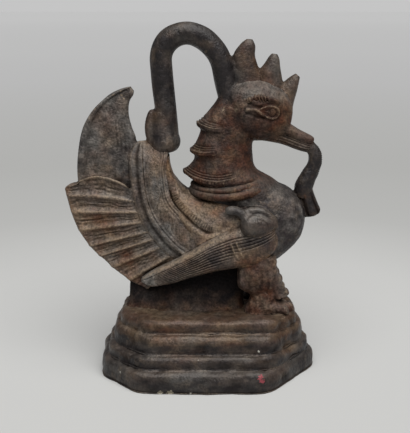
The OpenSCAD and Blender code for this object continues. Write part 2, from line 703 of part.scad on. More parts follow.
// A toe of three joints, each thinner than the last
module toe(turn, reach) {
    translate([heel[0], -leg_spread, 0]) rotate([0, 0, turn]) for (i = [0:1]) hull() {
        for (j = [i, i + 1]) {
            r = toe_r * (1 - 0.1 * j);
            translate([reach * (0.1 + 0.45 * j), 0, r + 3.4 * pow(1 - j / 2, 2)]) sphere(r = r, $fn = 8);
        }
    }
}
module foot_form() {
    for (t = [-toe_spread, 0, toe_spread]) toe(t, t == 0 ? toe_reach : 0.9 * toe_reach);
    toe(180, 0.3 * toe_reach);
    translate([heel[0] + 1.5, -leg_spread, 0]) hull() {
        cylinder(h = 2, r = 4.4, $fn = 10);
        translate([2.6, 0, 0.42 * leg_h]) cylinder(h = 1, r = 4.2, $fn = 10);
    }
}
module foot() {
    difference() {
        translate([0, 0, plinth_h]) intersection() {
            foot_form();
            translate([0, -2 * plinth_width, 0]) cube([2 * plinth_length, 4 * plinth_width, leg_h]);
        }
        bird() leg_form();
    }
}
module right_foot() { color(bronze_brown) foot(); }
module left_foot() { color(bronze_brown) left() foot(); }

// Support: a post under the tail that runs forward as a web under the belly
// Where it meets the fan it is a little thinner than the fan's rim
post_neck = 0.54 * fan_edge / post_w;
// First edge at the back, second in front, heights as shares of the leg height
post = [[-35, 0, 15, 0, 1], [-34.6, 0.1, 15.4, 0.2, 0.86], [-34.2, 0.24, 15.8, 0.56, 0.5],
    [-33.8, 0.4, 16, 0.9, post_neck], [-33, 0.75, 16, 1.4, post_neck]];
module rear_support() {
    color(bronze_dark) difference() {
        translate([0, 0, plinth_h])
            loft(rings(sized(post, [0, 0], 1, leg_h, post_w / 2), reversed(oval(10, 0.55))));
        bird() {
            body_form();
            coverts_form();
            cord_form();
            fan_form();
            for (side = [0, 1]) mirror([0, side, 0]) {
                wing_form();
                leg_form();
            }
        }
    }
}

foot_slab();
second_slab();
third_slab();
top_slab();
rear_support();
body();
right_leg();
left_leg();
right_foot();
left_foot();
right_wing();
left_wing();
right_scroll();
left_scroll();
tail_coverts();
tail_cord();
tail_fan();
tail_plume();
handle_cup();
handle();
neck();
upper_ruff();
middle_ruff();
lower_ruff();
necklace();
head();
rear_prong();
middle_prong();
front_prong();
upper_bill();
lower_bill();
right_eye();
left_eye();
right_brow();
left_brow();
sprig();
blossom();
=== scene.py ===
# %% [markdown]
# # A bronze weight in the shape of a crested bird
#
# The weight is one lost-wax casting: the founder pressed, rolled and cut pieces of wax, stuck them
# together, cut the feathers with a knife and cast the whole in bronze. This lesson makes each wax piece
# as its own mesh, lays it over the solid of the same name, and gives it a patina. Lengths are millimetres
# until a mesh is made.

# %% Load the solids as the frame
import math

import bmesh
import bpy
import numpy as np
from mathutils.bvhtree import BVHTree
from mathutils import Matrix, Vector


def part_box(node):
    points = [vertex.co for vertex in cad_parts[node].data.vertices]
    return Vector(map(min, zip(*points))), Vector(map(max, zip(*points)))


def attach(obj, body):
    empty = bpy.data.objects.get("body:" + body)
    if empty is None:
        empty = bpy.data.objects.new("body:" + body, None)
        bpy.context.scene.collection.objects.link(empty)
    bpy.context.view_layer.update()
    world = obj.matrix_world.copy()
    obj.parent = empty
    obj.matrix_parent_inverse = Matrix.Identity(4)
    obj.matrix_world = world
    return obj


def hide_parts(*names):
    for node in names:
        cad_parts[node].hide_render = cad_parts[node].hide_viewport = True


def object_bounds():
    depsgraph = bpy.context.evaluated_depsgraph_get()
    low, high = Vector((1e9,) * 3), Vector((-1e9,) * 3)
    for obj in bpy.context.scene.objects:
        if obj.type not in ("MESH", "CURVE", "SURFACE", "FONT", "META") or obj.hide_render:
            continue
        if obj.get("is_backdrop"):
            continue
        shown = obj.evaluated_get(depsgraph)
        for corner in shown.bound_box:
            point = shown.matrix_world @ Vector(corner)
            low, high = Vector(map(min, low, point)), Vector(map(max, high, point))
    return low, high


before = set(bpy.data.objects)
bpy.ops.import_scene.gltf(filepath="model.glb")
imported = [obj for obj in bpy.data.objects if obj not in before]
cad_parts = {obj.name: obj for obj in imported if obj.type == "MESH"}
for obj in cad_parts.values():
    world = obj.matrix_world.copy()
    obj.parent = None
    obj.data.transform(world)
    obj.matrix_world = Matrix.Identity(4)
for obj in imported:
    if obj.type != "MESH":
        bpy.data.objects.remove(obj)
cad_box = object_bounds()
MM = 0.001
LEG_HEIGHT = 19.0
PLINTH_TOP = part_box("top_slab")[1].z / MM
# The bird is drawn in its own frame, whose zero is the lowest point of the belly
LIFT = PLINTH_TOP + LEG_HEIGHT
print(len(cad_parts), "solids, belly", round(LIFT, 1), "mm above the table")

# %% [markdown]
# ## Curves and skins
#
# Every wax piece has a few outline points that can be read off a side view. A curve through them gives
# smooth stations, a closed section turns each station into a ring, and a skin of quads over the rings is
# the piece. Curves with bevels would be quicker to set up, but a skin of our own lets us press fine
# feathers into it afterwards.

# %% Curves, sections and rings
def curve(points, steps):
    """steps + 1 points on a smooth curve through a few points, stations or whole rings."""
    p = np.asarray(points, float)
    s = np.linspace(0, len(p) - 1, steps + 1)
    k = np.minimum(s.astype(int), len(p) - 2)
    t = (s - k).reshape((-1,) + (1,) * (p.ndim - 1))
    a, b, c, d = p[np.maximum(k - 1, 0)], p[k], p[k + 1], p[np.minimum(k + 2, len(p) - 1)]
    return 0.5 * (2 * b + (c - a) * t + (2 * a - 5 * b + 4 * c - d) * t**2 + (3 * b - a - 3 * c + d) * t**3)


def oval(n, squareness=0.9):
    """Closed section of n points, (across, out), squarer as the number gets smaller."""
    a = np.linspace(0, 2 * np.pi, n, endpoint=False)
    return np.stack([np.sign(f) * np.abs(f) ** squareness for f in (np.cos(a), np.sin(a))], -1)


def sized(stations, at=(0, 0), kx=1, kz=1, kw=1):
    """Stations [x, z, x, z, half width] scaled, then moved in side view."""
    return np.asarray(stations, float) * [kx, kz, kx, kz, kw] + [at[0], at[1], at[0], at[1], 0]


def rings(stations, section):
    """One ring per station: its two edge points in side view, and the section drawn between them."""
    s = np.asarray(stations)[:, None, :]
    q = np.asarray(section)[None, :, :]
    across = (1 + q[..., 0]) / 2
    x = s[..., 0] + (s[..., 2] - s[..., 0]) * across
    z = s[..., 1] + (s[..., 3] - s[..., 1]) * across
    return np.stack([x, s[..., 4] * q[..., 1], z], -1)


def tube(path, steps):
    """Stations of a round bar along a side-view path of [x, z, radius]."""
    p = curve(path, steps)
    d = np.gradient(p[:, :2], axis=0)
    d /= np.linalg.norm(d, axis=1)[:, None]
    side = np.stack([-d[:, 1], d[:, 0]], -1) * p[:, 2:]
    return np.concatenate([p[:, :2] + side, p[:, :2] - side, p[:, 2:]], 1)


def mirrored(points):
    return points * [1, -1, 1]


# %% Skins
def faces_over(m, n, loop):
    """Quads over m rings of n points, closed on itself or capped with two middle points."""
    k = np.arange(n)
    i = np.arange(m if loop else m - 1)[:, None] * n
    j = (i + n) % (m * n)
    quads = np.stack([i + k, i + (k + 1) % n, j + (k + 1) % n, j + k], -1).reshape(-1, 4)
    caps = np.empty((0, 3), int)
    if not loop:
        head = np.stack([np.full(n, m * n), (k + 1) % n, k], -1)
        tail = np.stack([np.full(n, m * n + 1), (m - 1) * n + k, (m - 1) * n + (k + 1) % n], -1)
        caps = np.concatenate([head, tail])
    return quads.tolist() + caps.tolist()


def skin(name, grids, loop=False):
    """One closed mesh over each grid of rings, all in one object, with its faces looking out."""
    points, faces = [], []
    for g in grids:
        m, n, _ = g.shape
        flat = g.reshape(-1, 3)
        if not loop:
            flat = np.concatenate([flat, [g[0].mean(0)], [g[-1].mean(0)]])
        new = faces_over(m, n, loop)
        six = sum(np.linalg.det(flat[[f[0], f[j], f[j + 1]]]) for f in new for j in range(1, len(f) - 1))
        start = sum(map(len, points))
        faces += [[start + v for v in (f if six > 0 else f[::-1])] for f in new]
        points.append(flat)
    mesh = bpy.data.meshes.new(name)
    mesh.from_pydata(((np.concatenate(points) + [0, 0, LIFT]) * MM).tolist(), [], faces)
    obj = bpy.data.objects.new(name, mesh)
    bpy.context.scene.collection.objects.link(obj)
    return obj


# %% [markdown]
# ## Pressing detail into the wax
#
# Knife cuts, beads and feather ribs are real dents and ridges, so they move the mesh along its normals by
# a depth in millimetres. Each depth is a short formula of where a point lies: how far it is from a drawn
# line, and how far along it. In these formulas p is the point, u how far along its piece it lies and v
# how far round, both from 0 to 1. The depth is also kept on the mesh, so that the patina knows grooves
# from ridges. A slow unevenness of a few tenths of a millimetre takes away the machine-made look.

# %% Lines, bumps and unevenness
SEED = np.random.default_rng(12)
WAVE_SIZES = (9, 11, 14, 18, 23, 30) * 2
WAVES = [(SEED.normal(size=3) * 2 * np.pi / size, SEED.uniform(0, 2 * np.pi)) for size in WAVE_SIZES]


def uneven(p):
    """Slow unevenness of hand-worked wax, about -1 to 1."""
    return sum(np.sin(p @ k * 0.6 + phase) for k, phase in WAVES) / 4


def bump(d, width):
    return np.exp(-((d / width) ** 2))


def between(v, low, high, soft):
    """1 where v is between low and high, falling to 0 over a soft edge."""
    return 1 / (1 + np.exp((low - v) / soft)) / (1 + np.exp((v - high) / soft))


def along(p, points, steps=60):
    """Side-view distance from a line, plus on its left, how far along it each point lies, and its length."""
    line = curve(points, steps)
    best, side, run = np.full(len(p), 1e9), np.zeros(len(p)), np.zeros(len(p))
    q, start = p[:, [0, 2]], 0.0
    for a, b in zip(line[:-1], line[1:]):
        d = b - a
        size = np.linalg.norm(d)
        t = np.clip((q - a) @ d / size**2, 0, 1)
        r = q - a - t[:, None] * d
        far = np.linalg.norm(r, axis=1)
        near = far < best
        best[near] = far[near]
        side[near] = np.sign(d[0] * r[near, 1] - d[1] * r[near, 0])
        run[near] = start + t[near] * size
        start += size
    return best * side, run, start


# %% Cast one piece
pieces = []


def vectors(mesh, what):
    a = np.empty(len(mesh.vertices) * 3, np.float32)
    mesh.vertices.foreach_get(what, a)
    return a.reshape(-1, 3).astype(float)


def place(mesh, points):
    mesh.vertices.foreach_set("co", points.astype(np.float32).ravel())
    mesh.update()


def keep(mesh, name, values):
    mesh.attributes.new(name, "FLOAT", "POINT").data.foreach_set("value", values.astype(np.float32))


def remeshed(obj, voxel, smooth):
    """The object's lumps as one skin, with the joins rounded."""
    fuse = obj.modifiers.new("fuse", "REMESH")
    fuse.mode, fuse.voxel_size = "VOXEL", voxel * MM
    soften = obj.modifiers.new("soften", "SMOOTH")
    soften.factor, soften.iterations = 0.5, smooth
    mesh = bpy.data.meshes.new_from_object(obj.evaluated_get(bpy.context.evaluated_depsgraph_get()))
    obj.modifiers.clear()
    return mesh


def cast(node, grids, finish, relief=None, rough=0.18, loop=False, voxel=0, smooth=4, dark=0.2, grey=0.3,
         seam=2.2, shade=None):
    """A wax piece over the solid of that name. Its detail is pressed when the seams have been smoothed."""
    grids = grids if isinstance(grids, list) else [grids]
    obj = skin(node + "_cast", grids, loop)
    m, n, _ = grids[0].shape
    u = np.append(np.repeat(np.linspace(0, 1, m), n), [0, 1] if not loop else [])
    v = np.append(np.tile(np.arange(n) / n, m), [0, 0] if not loop else [])
    if voxel:
        obj.data = remeshed(obj, voxel, smooth)
    p = vectors(obj.data, "co")
    place(obj.data, p + vectors(obj.data, "normal") * (rough * uneven(p / MM) * MM)[:, None])
    obj.data.polygons.foreach_set("use_smooth", np.ones(len(obj.data.polygons), bool))
    obj.data.materials.clear()
    obj.data.materials.append(finish)
    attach(obj, "root")
    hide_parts(node)
    pieces.append({"obj": obj, "relief": relief, "u": u, "v": v, "dark": dark, "grey": grey, "seam": seam,
                   "shade": shade})
    print(node, len(obj.data.vertices), "points")


def cast_pair(name, grids, *rest, **settings):
    """The same piece on the bird's right, and mirrored on its left."""
    cast("right_" + name, grids, *rest, **settings)
    cast("left_" + name, [mirrored(g) for g in grids], *rest, **settings)


# %% [markdown]
# ## Patinated bronze
#
# Old bronze is brown because its surface has turned to oxide, and dust and wax have settled in the cuts.
# So the colour comes in layers: rust brown and ochre that cloud into each other, grey and black zones
# that run on from one piece to the next, a fine mottle, dark dirt in cuts, dirt and painted shade in creases,
# painted shade in the gap under the bird, dust with painted top light on what faces up, and a paler rubbed
# tone on ridges. Oxide hides most of the metal, so metallic stays low and the gloss is satin. One
# function builds all the finishes.

# %% Colour and node helpers
def linear(hex_colour):
    """sRGB hex colour to the linear numbers that a shader takes."""
    c = [int(hex_colour[i:i + 2], 16) / 255 for i in (1, 3, 5)]
    return [x / 12.92 if x <= 0.04045 else ((x + 0.055) / 1.055) ** 2.4 for x in c] + [1]


def node(tree, kind, sockets=(), **settings):
    """Add a shader node: settings are its own options, sockets pairs of an input and a value or an output."""
    made_node = tree.nodes.new(kind)
    for key, value in settings.items():
        setattr(made_node, key, value)
    for key, value in sockets:
        if isinstance(value, bpy.types.NodeSocket):
            tree.links.new(value, made_node.inputs[key])
        else:
            made_node.inputs[key].default_value = value
    return made_node


# %% One patina
BROWN_SIZE = 7.0
GREY_SIZE = 9.0
BLACK_SIZE = 4.5
MOTTLE_SIZE = 2.6
# The casting grain is about 0.3 mm, drawn coarser because a pixel covers 0.4 mm
GRIT_SIZE = 0.9
SPECK_SIZE = 5.0
# How far the patterns are apart in their own sizes, how much the dirt and painted shade cover, and how much
# metal shows
PATTERN_SHIFT, DIRT_AND_SHADE_COVER, METAL_SHOWING = 7.3, 0.78, 0.3
# Dirt and painted shade fill creases of a few millimetres, and painted shade the gap between bird and plinth
CREASE_REACH, GAP_SHADE_REACH = 3.0, 16.0
RUST, OCHRE, GREY, BLACK = "#593727", "#75604a", "#68645f", "#2b2626"
DIRT_AND_SHADE, RUBBED, DUST_AND_TOP_LIGHT, PAINT = "#1a1411", "#a8937a", "#8c867c", "#c9c5ba"


def patina(name, wear=1.0, gloss=0.5, shine=0.5, dust_and_top_light=0.35, tone=1.0, warm=0.0, specks=0.0, chips=(),
           gap=False, grain=0.45, stretch=(1, 1, 1)):
    """Cast bronze under oxide: cloudy browns, dirt and painted shade in what lies deep, dust and painted top
    light on what faces up, rubbed pale on what stands out.
    """
    mat = bpy.data.materials.new(name)
    mat.use_nodes = True
    t = mat.node_tree
    shader = t.nodes["Principled BSDF"]
    spot = node(t, "ShaderNodeTexCoord").outputs["Object"]
    noises = []
    for size, detail in ((BROWN_SIZE, 4), (GREY_SIZE, 4), (BLACK_SIZE, 5), (MOTTLE_SIZE, 4), (GRIT_SIZE, 3)):
        # Each pattern is read at its own place, so that they don't lie on top of each other
        # The coarse ones streak
        streak = stretch if size > MOTTLE_SIZE else (1, 1, 1)
        apart = node(t, "ShaderNodeVectorMath",
                     [(0, spot), (1, streak), (2, [size * MM * PATTERN_SHIFT] * 3)],
                     operation="MULTIPLY_ADD")
        n = node(t, "ShaderNodeTexNoise", [("Vector", apart.outputs[0]), ("Scale", 1 / (size * MM)),
                                           ("Detail", detail)])
        noises.append(n.outputs["Fac"])
    brown, ashen, black_clouds, mottle, grit = noises

    # Patina colour: rust and ochre cloud into each other, then the grey and black zones of the pieces, which
    # also carry painted shade on the plinth rolls and the web and painted top light on the skull
    drift = node(t, "ShaderNodeMapRange",
                 [("Value", brown), ("From Min", 0.32 + warm), ("From Max", 0.66 + warm)])
    colour = node(t, "ShaderNodeMix",
                  [("Factor", drift.outputs[0]), ("A", linear(RUST)), ("B", linear(OCHRE))],
                  data_type="RGBA").outputs["Result"]
    for zone, hue, pattern, reach in (("grey", GREY, ashen, 1.7), ("dark", BLACK, black_clouds, 1.9)):
        amount = node(t, "ShaderNodeAttribute", attribute_name=zone).outputs["Fac"]
        off = node(t, "ShaderNodeMath", [(0, pattern), (1, 0.5)], operation="SUBTRACT")
        patch = node(t, "ShaderNodeMath", [(0, off.outputs[0]), (1, reach), (2, amount)],
                     operation="MULTIPLY_ADD", use_clamp=True)
        colour = node(t, "ShaderNodeMix", [("Factor", patch.outputs[0]), ("A", colour), ("B", linear(hue))],
                      data_type="RGBA").outputs["Result"]
    for pattern, level in ((mottle, tone), (grit, 1)):
        break_up = node(t, "ShaderNodeMapRange",
                        [("Value", pattern), ("From Min", 0.3), ("From Max", 0.7),
                         ("To Min", level * (1 - grain)), ("To Max", level * (1 + grain))])
        colour = node(t, "ShaderNodeVectorMath", [(0, colour), (1, break_up.outputs[0])],
                      operation="MULTIPLY").outputs[0]

    # What lies over the patina is kept as pairs of cover and colour. Dust lies in patches on what faces up,
    # and the same layer paints those faces lighter as painted top light
    layers = []
    shape = node(t, "ShaderNodeNewGeometry")
    up = node(t, "ShaderNodeSeparateXYZ", [(0, shape.outputs["Normal"])])
    lying = node(t, "ShaderNodeMapRange", [("Value", up.outputs["Z"]), ("From Min", 0.2), ("From Max", 0.95),
                                           ("To Max", dust_and_top_light * 2)])
    thick = node(t, "ShaderNodeMath", [(0, lying.outputs[0]), (1, mottle)], operation="MULTIPLY",
                 use_clamp=True)
    layers.append((thick, DUST_AND_TOP_LIGHT))

    # What stands out is rubbed: ridges in the pressed relief, and sharp edges
    relief = node(t, "ShaderNodeAttribute", attribute_name="relief").outputs["Fac"]
    high = node(t, "ShaderNodeMapRange", [("Value", relief), ("From Min", 0.04), ("From Max", 0.4)])
    sharp = node(t, "ShaderNodeMapRange", [("Value", shape.outputs["Pointiness"]), ("From Min", 0.52),
                                           ("From Max", 0.6)])
    either = node(t, "ShaderNodeMath", [(0, high.outputs[0]), (1, sharp.outputs[0])], operation="MAXIMUM")
    patchy = node(t, "ShaderNodeMapRange", [("Value", grit), ("From Min", 0.38), ("From Max", 0.6),
                                            ("To Min", 0.2 * wear), ("To Max", 0.95 * wear)])
    worn = node(t, "ShaderNodeMath", [(0, either.outputs[0]), (1, patchy.outputs[0])], operation="MULTIPLY",
                use_clamp=True)
    layers.append((worn, RUBBED))

    # What lies deep is darkened: dirt in the cuts of the relief, dirt and painted shade in creases between
    # pieces, and painted shade in the gap under the bird
    cut = node(t, "ShaderNodeMapRange", [("Value", relief), ("From Min", -0.05), ("From Max", -0.45)])
    dirt_and_shade = cut.outputs[0]
    for reach, shut, open_at in [(CREASE_REACH, 0.3, 0.78)] + [(GAP_SHADE_REACH, 0.08, 0.42)] * gap:
        crease = node(t, "ShaderNodeAmbientOcclusion", [("Distance", reach * MM)], samples=8)
        occluded_dark = node(t, "ShaderNodeMapRange", [("Value", crease.outputs["AO"]), ("From Min", shut),
                                                ("From Max", open_at), ("To Min", 1), ("To Max", 0)])
        dirt_and_shade = node(t, "ShaderNodeMath", [(0, dirt_and_shade), (1, occluded_dark.outputs[0])], operation="MAXIMUM").outputs[0]
    darkened = node(t, "ShaderNodeMath", [(0, dirt_and_shade), (1, DIRT_AND_SHADE_COVER)], operation="MULTIPLY")
    layers.append((darkened, DIRT_AND_SHADE))

    # A few specks of old paint, and chips of it at given places
    if specks:
        cells = node(t, "ShaderNodeTexVoronoi", [("Vector", spot), ("Scale", 1 / (SPECK_SIZE * MM))])
        pick = node(t, "ShaderNodeSeparateColor", [(0, cells.outputs["Color"])])
        rare = node(t, "ShaderNodeMath", [(0, pick.outputs[0]), (1, specks)], operation="LESS_THAN")
        ragged = node(t, "ShaderNodeMath", [(0, grit), (1, 0.2)], operation="MULTIPLY")
        small = node(t, "ShaderNodeMath", [(0, cells.outputs["Distance"]), (1, ragged.outputs[0])],
                     operation="LESS_THAN")
        both = node(t, "ShaderNodeMath", [(0, rare.outputs[0]), (1, small.outputs[0])], operation="MULTIPLY")
        layers.append((both, PAINT))
    for place_mm, size, hue in chips:
        far = node(t, "ShaderNodeVectorMath", [(0, spot), (1, [c * MM for c in place_mm])],
                   operation="DISTANCE")
        ragged = node(t, "ShaderNodeMath", [(0, grit), (1, 2.4 * size * MM), (2, far.outputs["Value"])],
                      operation="MULTIPLY_ADD")
        near = node(t, "ShaderNodeMath", [(0, ragged.outputs[0]), (1, 2.2 * size * MM)],
                    operation="LESS_THAN")
        layers.append((near, hue))
    for cover, hue in layers:
        colour = node(t, "ShaderNodeMix", [("Factor", cover.outputs[0]), ("A", colour), ("B", linear(hue))],
                      data_type="RGBA").outputs["Result"]
    t.links.new(colour, shader.inputs["Base Color"])

    # Satin where rubbed, dull and without shine in the dirt and painted shade, with the grain of the casting
    # in the bump
    dull = node(t, "ShaderNodeMapRange", [("Value", mottle), ("From Min", 0.3), ("From Max", 0.7),
                                          ("To Min", gloss - 0.12), ("To Max", gloss + 0.16)])
    spent = node(t, "ShaderNodeMath", [(0, dirt_and_shade), (1, 0.3), (2, dull.outputs[0])], operation="MULTIPLY_ADD")
    t.links.new(spent.outputs[0], shader.inputs["Roughness"])
    shiny = node(t, "ShaderNodeMapRange", [("Value", dirt_and_shade), ("To Min", shine), ("To Max", 0.05)])
    t.links.new(shiny.outputs[0], shader.inputs["Specular IOR Level"])
    shader.inputs["Metallic"].default_value = METAL_SHOWING
    pitted = node(t, "ShaderNodeMath", [(0, mottle), (1, 1.5), (2, grit)], operation="MULTIPLY_ADD")
    bumped = node(t, "ShaderNodeBump", [("Height", pitted.outputs[0]), ("Strength", 1.8 * grain),
                                        ("Distance", 0.5 * MM)])
    t.links.new(bumped.outputs[0], shader.inputs["Normal"])
    return mat


# %% The six finishes
# Chips of old paint on the front of the foot slab, one of them red: place, size and colour
CHIPS = [((21.2, -31, 7.6), 1.5, "#9c4a50"), ((21.7, -31, 5.6), 1.2, "#9c4a50"),
         ((-19.6, -30.4, 0.6), 1.2, "#948c7a"), ((-15.6, -30.4, 0.6), 1.3, "#948c7a"),
         ((-7, -30.4, 0.8), 0.9, PAINT), ((-7.6, -31, 5), 0.6, PAINT), ((-36, -22, 5.6), 0.8, PAINT)]
# Handled bronze: bar, crest and sprig, oiled by fingers to a soft shine
handled = patina("handled_bronze", wear=0.5, gloss=0.44, dust_and_top_light=0.15, tone=0.95, grain=0.32)
# Red oxide: head, neck and legs, a dull warm oxide with dirt and painted shade in the creases, and painted
# shade by the gap under the bird
red = patina("red_oxide_bronze", wear=0.6, gloss=0.54, shine=0.25, dust_and_top_light=0.2, tone=0.97, warm=0.14,
             specks=0.02, gap=True)
# Brown oxide: the trunk, black and grey on the breast and earthy on the flank
oxide = patina("brown_oxide_bronze", wear=0.7, gloss=0.5, shine=0.35, dust_and_top_light=0.2, tone=1.62, warm=-0.08)
# Rubbed bronze: tail and wings, browner in the furrows and pale on the ribs
rubbed = patina("rubbed_bronze", wear=0.8, gloss=0.5, shine=0.35, dust_and_top_light=0.25, tone=1.42, warm=-0.03,
                specks=0.03)
# Plinth bronze: dark satin, clouded along its sides, with dust and painted top light on the ledges, dirt and
# painted shade in the creases, painted shade by the gap under the bird, and chips of paint
ledge = patina("clouded_plinth_bronze", wear=0.35, gloss=0.42, shine=0.45, dust_and_top_light=0.08, tone=0.76,
               specks=0.08, chips=CHIPS, gap=True, grain=0.3, stretch=(0.6, 0.6, 1.5))
# Web bronze: the web between bird and plinth, painted near black as the shade under the bird, never rubbed or
# dusted
web_in_painted_shade = patina("web_bronze_painted_shade", wear=0, gloss=0.7, shine=0.15, dust_and_top_light=0, tone=0.62, warm=0.06, gap=True)
print("finishes", [m.name for m in (handled, red, oxide, rubbed, ledge, web_in_painted_shade)])

# %% [markdown]
# ## Plinth
#
# Four eight-sided slabs of wax, each smaller than the last, were stacked and smoothed with a finger, so
# their edges are soft rolls and their creases are full of dirt; creases and the lower half of each roll also
# get painted shade. A box with a bevel would give one even radius. A profile drawn round an outline gives a
# roll that can be fuller below than above.

# %% Stacked slabs
CORNER_CUT = 17.0
CORNER_STEP = 1.86
CORNER_EASE = 0.4
# The cuts at the breast end are longer, most of all on the foot slab
BREAST_CUT = 10.5
# Roll of a slab from its underside to its ledge: how far in, and how high as a share of the slab
ROLL = [(12, 0), (0.9, 0), (0.35, 0.06), (0.05, 0.2), (0, 0.45), (0.1, 0.66), (0.5, 0.84), (1.3, 0.96),
        (2.4, 1.01), (5, 1.05), (12, 1.05)]


def eight_sides(length, width, cut, more):
    """Outline with four long sides and four cut corners, all eased where they meet."""
    x, y = length / 2, width / 2
    f, g = cut + more, cut + 0.4 * more
    p = np.array([[x, f - y], [x, y - f], [x - g, y], [cut - x, y], [-x, y - cut], [-x, cut - y],
                  [cut - x, -y], [x - g, -y]])

    def toward(b, to):
        far = np.linalg.norm(to - b)
        return b + (to - b) / far * min(CORNER_EASE * cut, 0.45 * far)

    line = []
    for i in range(8):
        a, b, d = p[i - 1], p[i], p[(i + 1) % 8]
        u, v, w = toward(b, a), toward(b, d), toward(d, b)
        line += [(1 - t) ** 2 * u + 2 * t * (1 - t) * b + t**2 * v for t in np.linspace(0, 1, 9)]
        line += [v + (w - v) * t for t in np.linspace(0, 1, 16)[1:-1]]
    return np.array(line)


def slab(name, level):
    """Rings of one slab, as large as the solid of that name."""
    low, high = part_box(name)
    length, width = (high.x - low.x) / MM, (high.y - low.y) / MM
    rim, base = low.z / MM - LIFT, (high.z - low.z) / MM
    grid = []
    for inset, up in curve(ROLL, 40):
        side = eight_sides(length - 2 * inset, width - 2 * inset,
                           CORNER_CUT - CORNER_STEP * level - 0.6 * inset, BREAST_CUT * (1 - level / 3))
        grid.append(np.column_stack([side, np.full(len(side), rim + base * up)]))
    return np.array(grid)


def slab_relief(p, u, v):
    """Knocks and finger dents."""
    return 0.22 * np.clip(uneven(p * 2.3), -0.8, 0.4) + 0.1 * uneven(p * 5.1 + 40)


def slab_painted_shade(p, u, v):
    """Painted shade: the lower half of each roll, which curls under, is blacker than its ledge, clouded by a
    slow unevenness.
    """
    return 0.5 * between(u, 0.1, 0.44, 0.05) + 0.25 * uneven(p * [0.8, 0.8, 2] + 7), 0


# Black and grey of the slabs, from the foot up
SLABS = {"foot_slab": (0.42, 0.7), "second_slab": (0.5, 0.5), "third_slab": (0.5, 0.2),
         "top_slab": (-0.2, 0.1)}
for level, (name, (dark, grey)) in enumerate(SLABS.items()):
    cast(name, slab(name, level), ledge, slab_relief, rough=0.4, dark=dark, grey=grey, seam=1.1,
         shade=slab_painted_shade)

# %% [markdown]
# ## Support, legs and feet
#
# Under the tail and belly a rough web of wax joins bird and plinth. The legs are thick shanks with a row
# of beads down the front, and each foot has three knuckled toes in front and one behind. The toes are
# separate rolls of wax pressed together, so their skins are fused with a voxel remesh, which rounds the
# joins as a warm finger would.

# %% Support under tail and belly
POST_HALF = 5.5
POST = [[-35.4, -0.02, 15.6, -0.02, 1.7], [-34.8, 0.06, 15.6, 0.12, 1.25], [-34.2, 0.2, 15.8, 0.5, 0.8],
        [-33.8, 0.4, 16, 0.9, 0.5], [-33, 0.75, 16, 1.4, 0.3]]


def web_painted_shade(p, u, v):
    """Painted shade: black under the bird, browner where the web meets the plinth."""
    return 0.9 * between(p[:, 2], -12, 99, 2) + 0.2 * uneven(p * 1.5), 0


post = sized(POST, (0, -LEG_HEIGHT), kz=LEG_HEIGHT, kw=POST_HALF)
# Its near-black finish paints the shade under the bird
cast("rear_support", rings(curve(post, 40), oval(120, 0.6)), web_in_painted_shade, rough=0.5, dark=0.5,
     shade=web_painted_shade)

# %% Legs with beaded fronts
LEG_SPREAD = 9.5
LEG_THICK = 5.0
SHANK = [[13, 0.3, 27.5, 0.3, 1.16], [11.8, -0.1, 28.6, -0.04, 1.36], [12.4, -0.4, 30.4, -0.28, 1.08],
         [16.8, -0.56, 31.8, -0.45, 0.84], [18.4, -0.76, 33, -0.62, 0.82]]
HOCK = [[12.6, -1, 12.8, -6.4, 0.6], [13.2, -0.2, 13.4, -7, 0.9], [16, 0.2, 16.2, -7.2, 1],
        [18.8, -0.4, 19, -6.6, 0.85], [19.6, -1.6, 19.7, -5.4, 0.5]]
HOCK_OUT = 11.4
HOCK_HALF = 3.6
BEAD_LINE = [(27.2, 4), (28.8, 0), (30, -3.4), (31.4, -7), (33, -11.5)]
BEAD_STEP = 3.5
FOLDS = [[(21, 1), (21.4, -5), (20, -12)], [(24, 1), (24.6, -6), (24.4, -13)],
         [(27, -3), (27.6, -8), (29, -14)]]


def leg_relief(p, u, v):
    d, run, _ = along(p, BEAD_LINE)
    beads = 0.45 * bump(d, 1.5) * (0.5 + 0.5 * np.sin(2 * np.pi * run / BEAD_STEP))
    folds = sum(-0.22 * bump(along(p, line)[0] + 0.5 * uneven(p * 2), 0.6) for line in FOLDS)
    creases = 0.07 * np.sin(2.6 * p[:, 0] + 1.6 * uneven(p * 2.5)) * between(p[:, 2], -99, -2, 1)
    return beads + (folds + creases) * between(np.abs(p[:, 1]), 9, 99, 0.6) + 0.1 * uneven(p * 4)


shank = rings(curve(sized(SHANK, kz=LEG_HEIGHT, kw=LEG_THICK), 60), oval(90, 0.8)) - [0, LEG_SPREAD, 0]
hock = rings(curve(sized(HOCK, kw=HOCK_HALF), 24), oval(40, 0.7)) - [0, HOCK_OUT, 0]
cast_pair("leg", [shank, hock], red, leg_relief, voxel=0.45, grey=0.38, dark=-0.12)

# %% Feet with knuckled toes
HEEL_X = 21.0
TOE_RADIUS = 2.5
MIDDLE_TOE, SIDE_TOE, HIND_TOE = 15.1, 13.4, 5.5
TOE_SPLAY = 19
ANKLE = [(20.4, -20, 5.6), (21, -17, 5.4), (22.6, -13.6, 5), (24.4, -10.4, 4.6), (25, -9.6, 3.4)]
INSTEP = [(21, -16.5, 4.0), (25, -16.4, 3.8), (29, -17, 3.2), (32.6, -17.6, 2.4)]


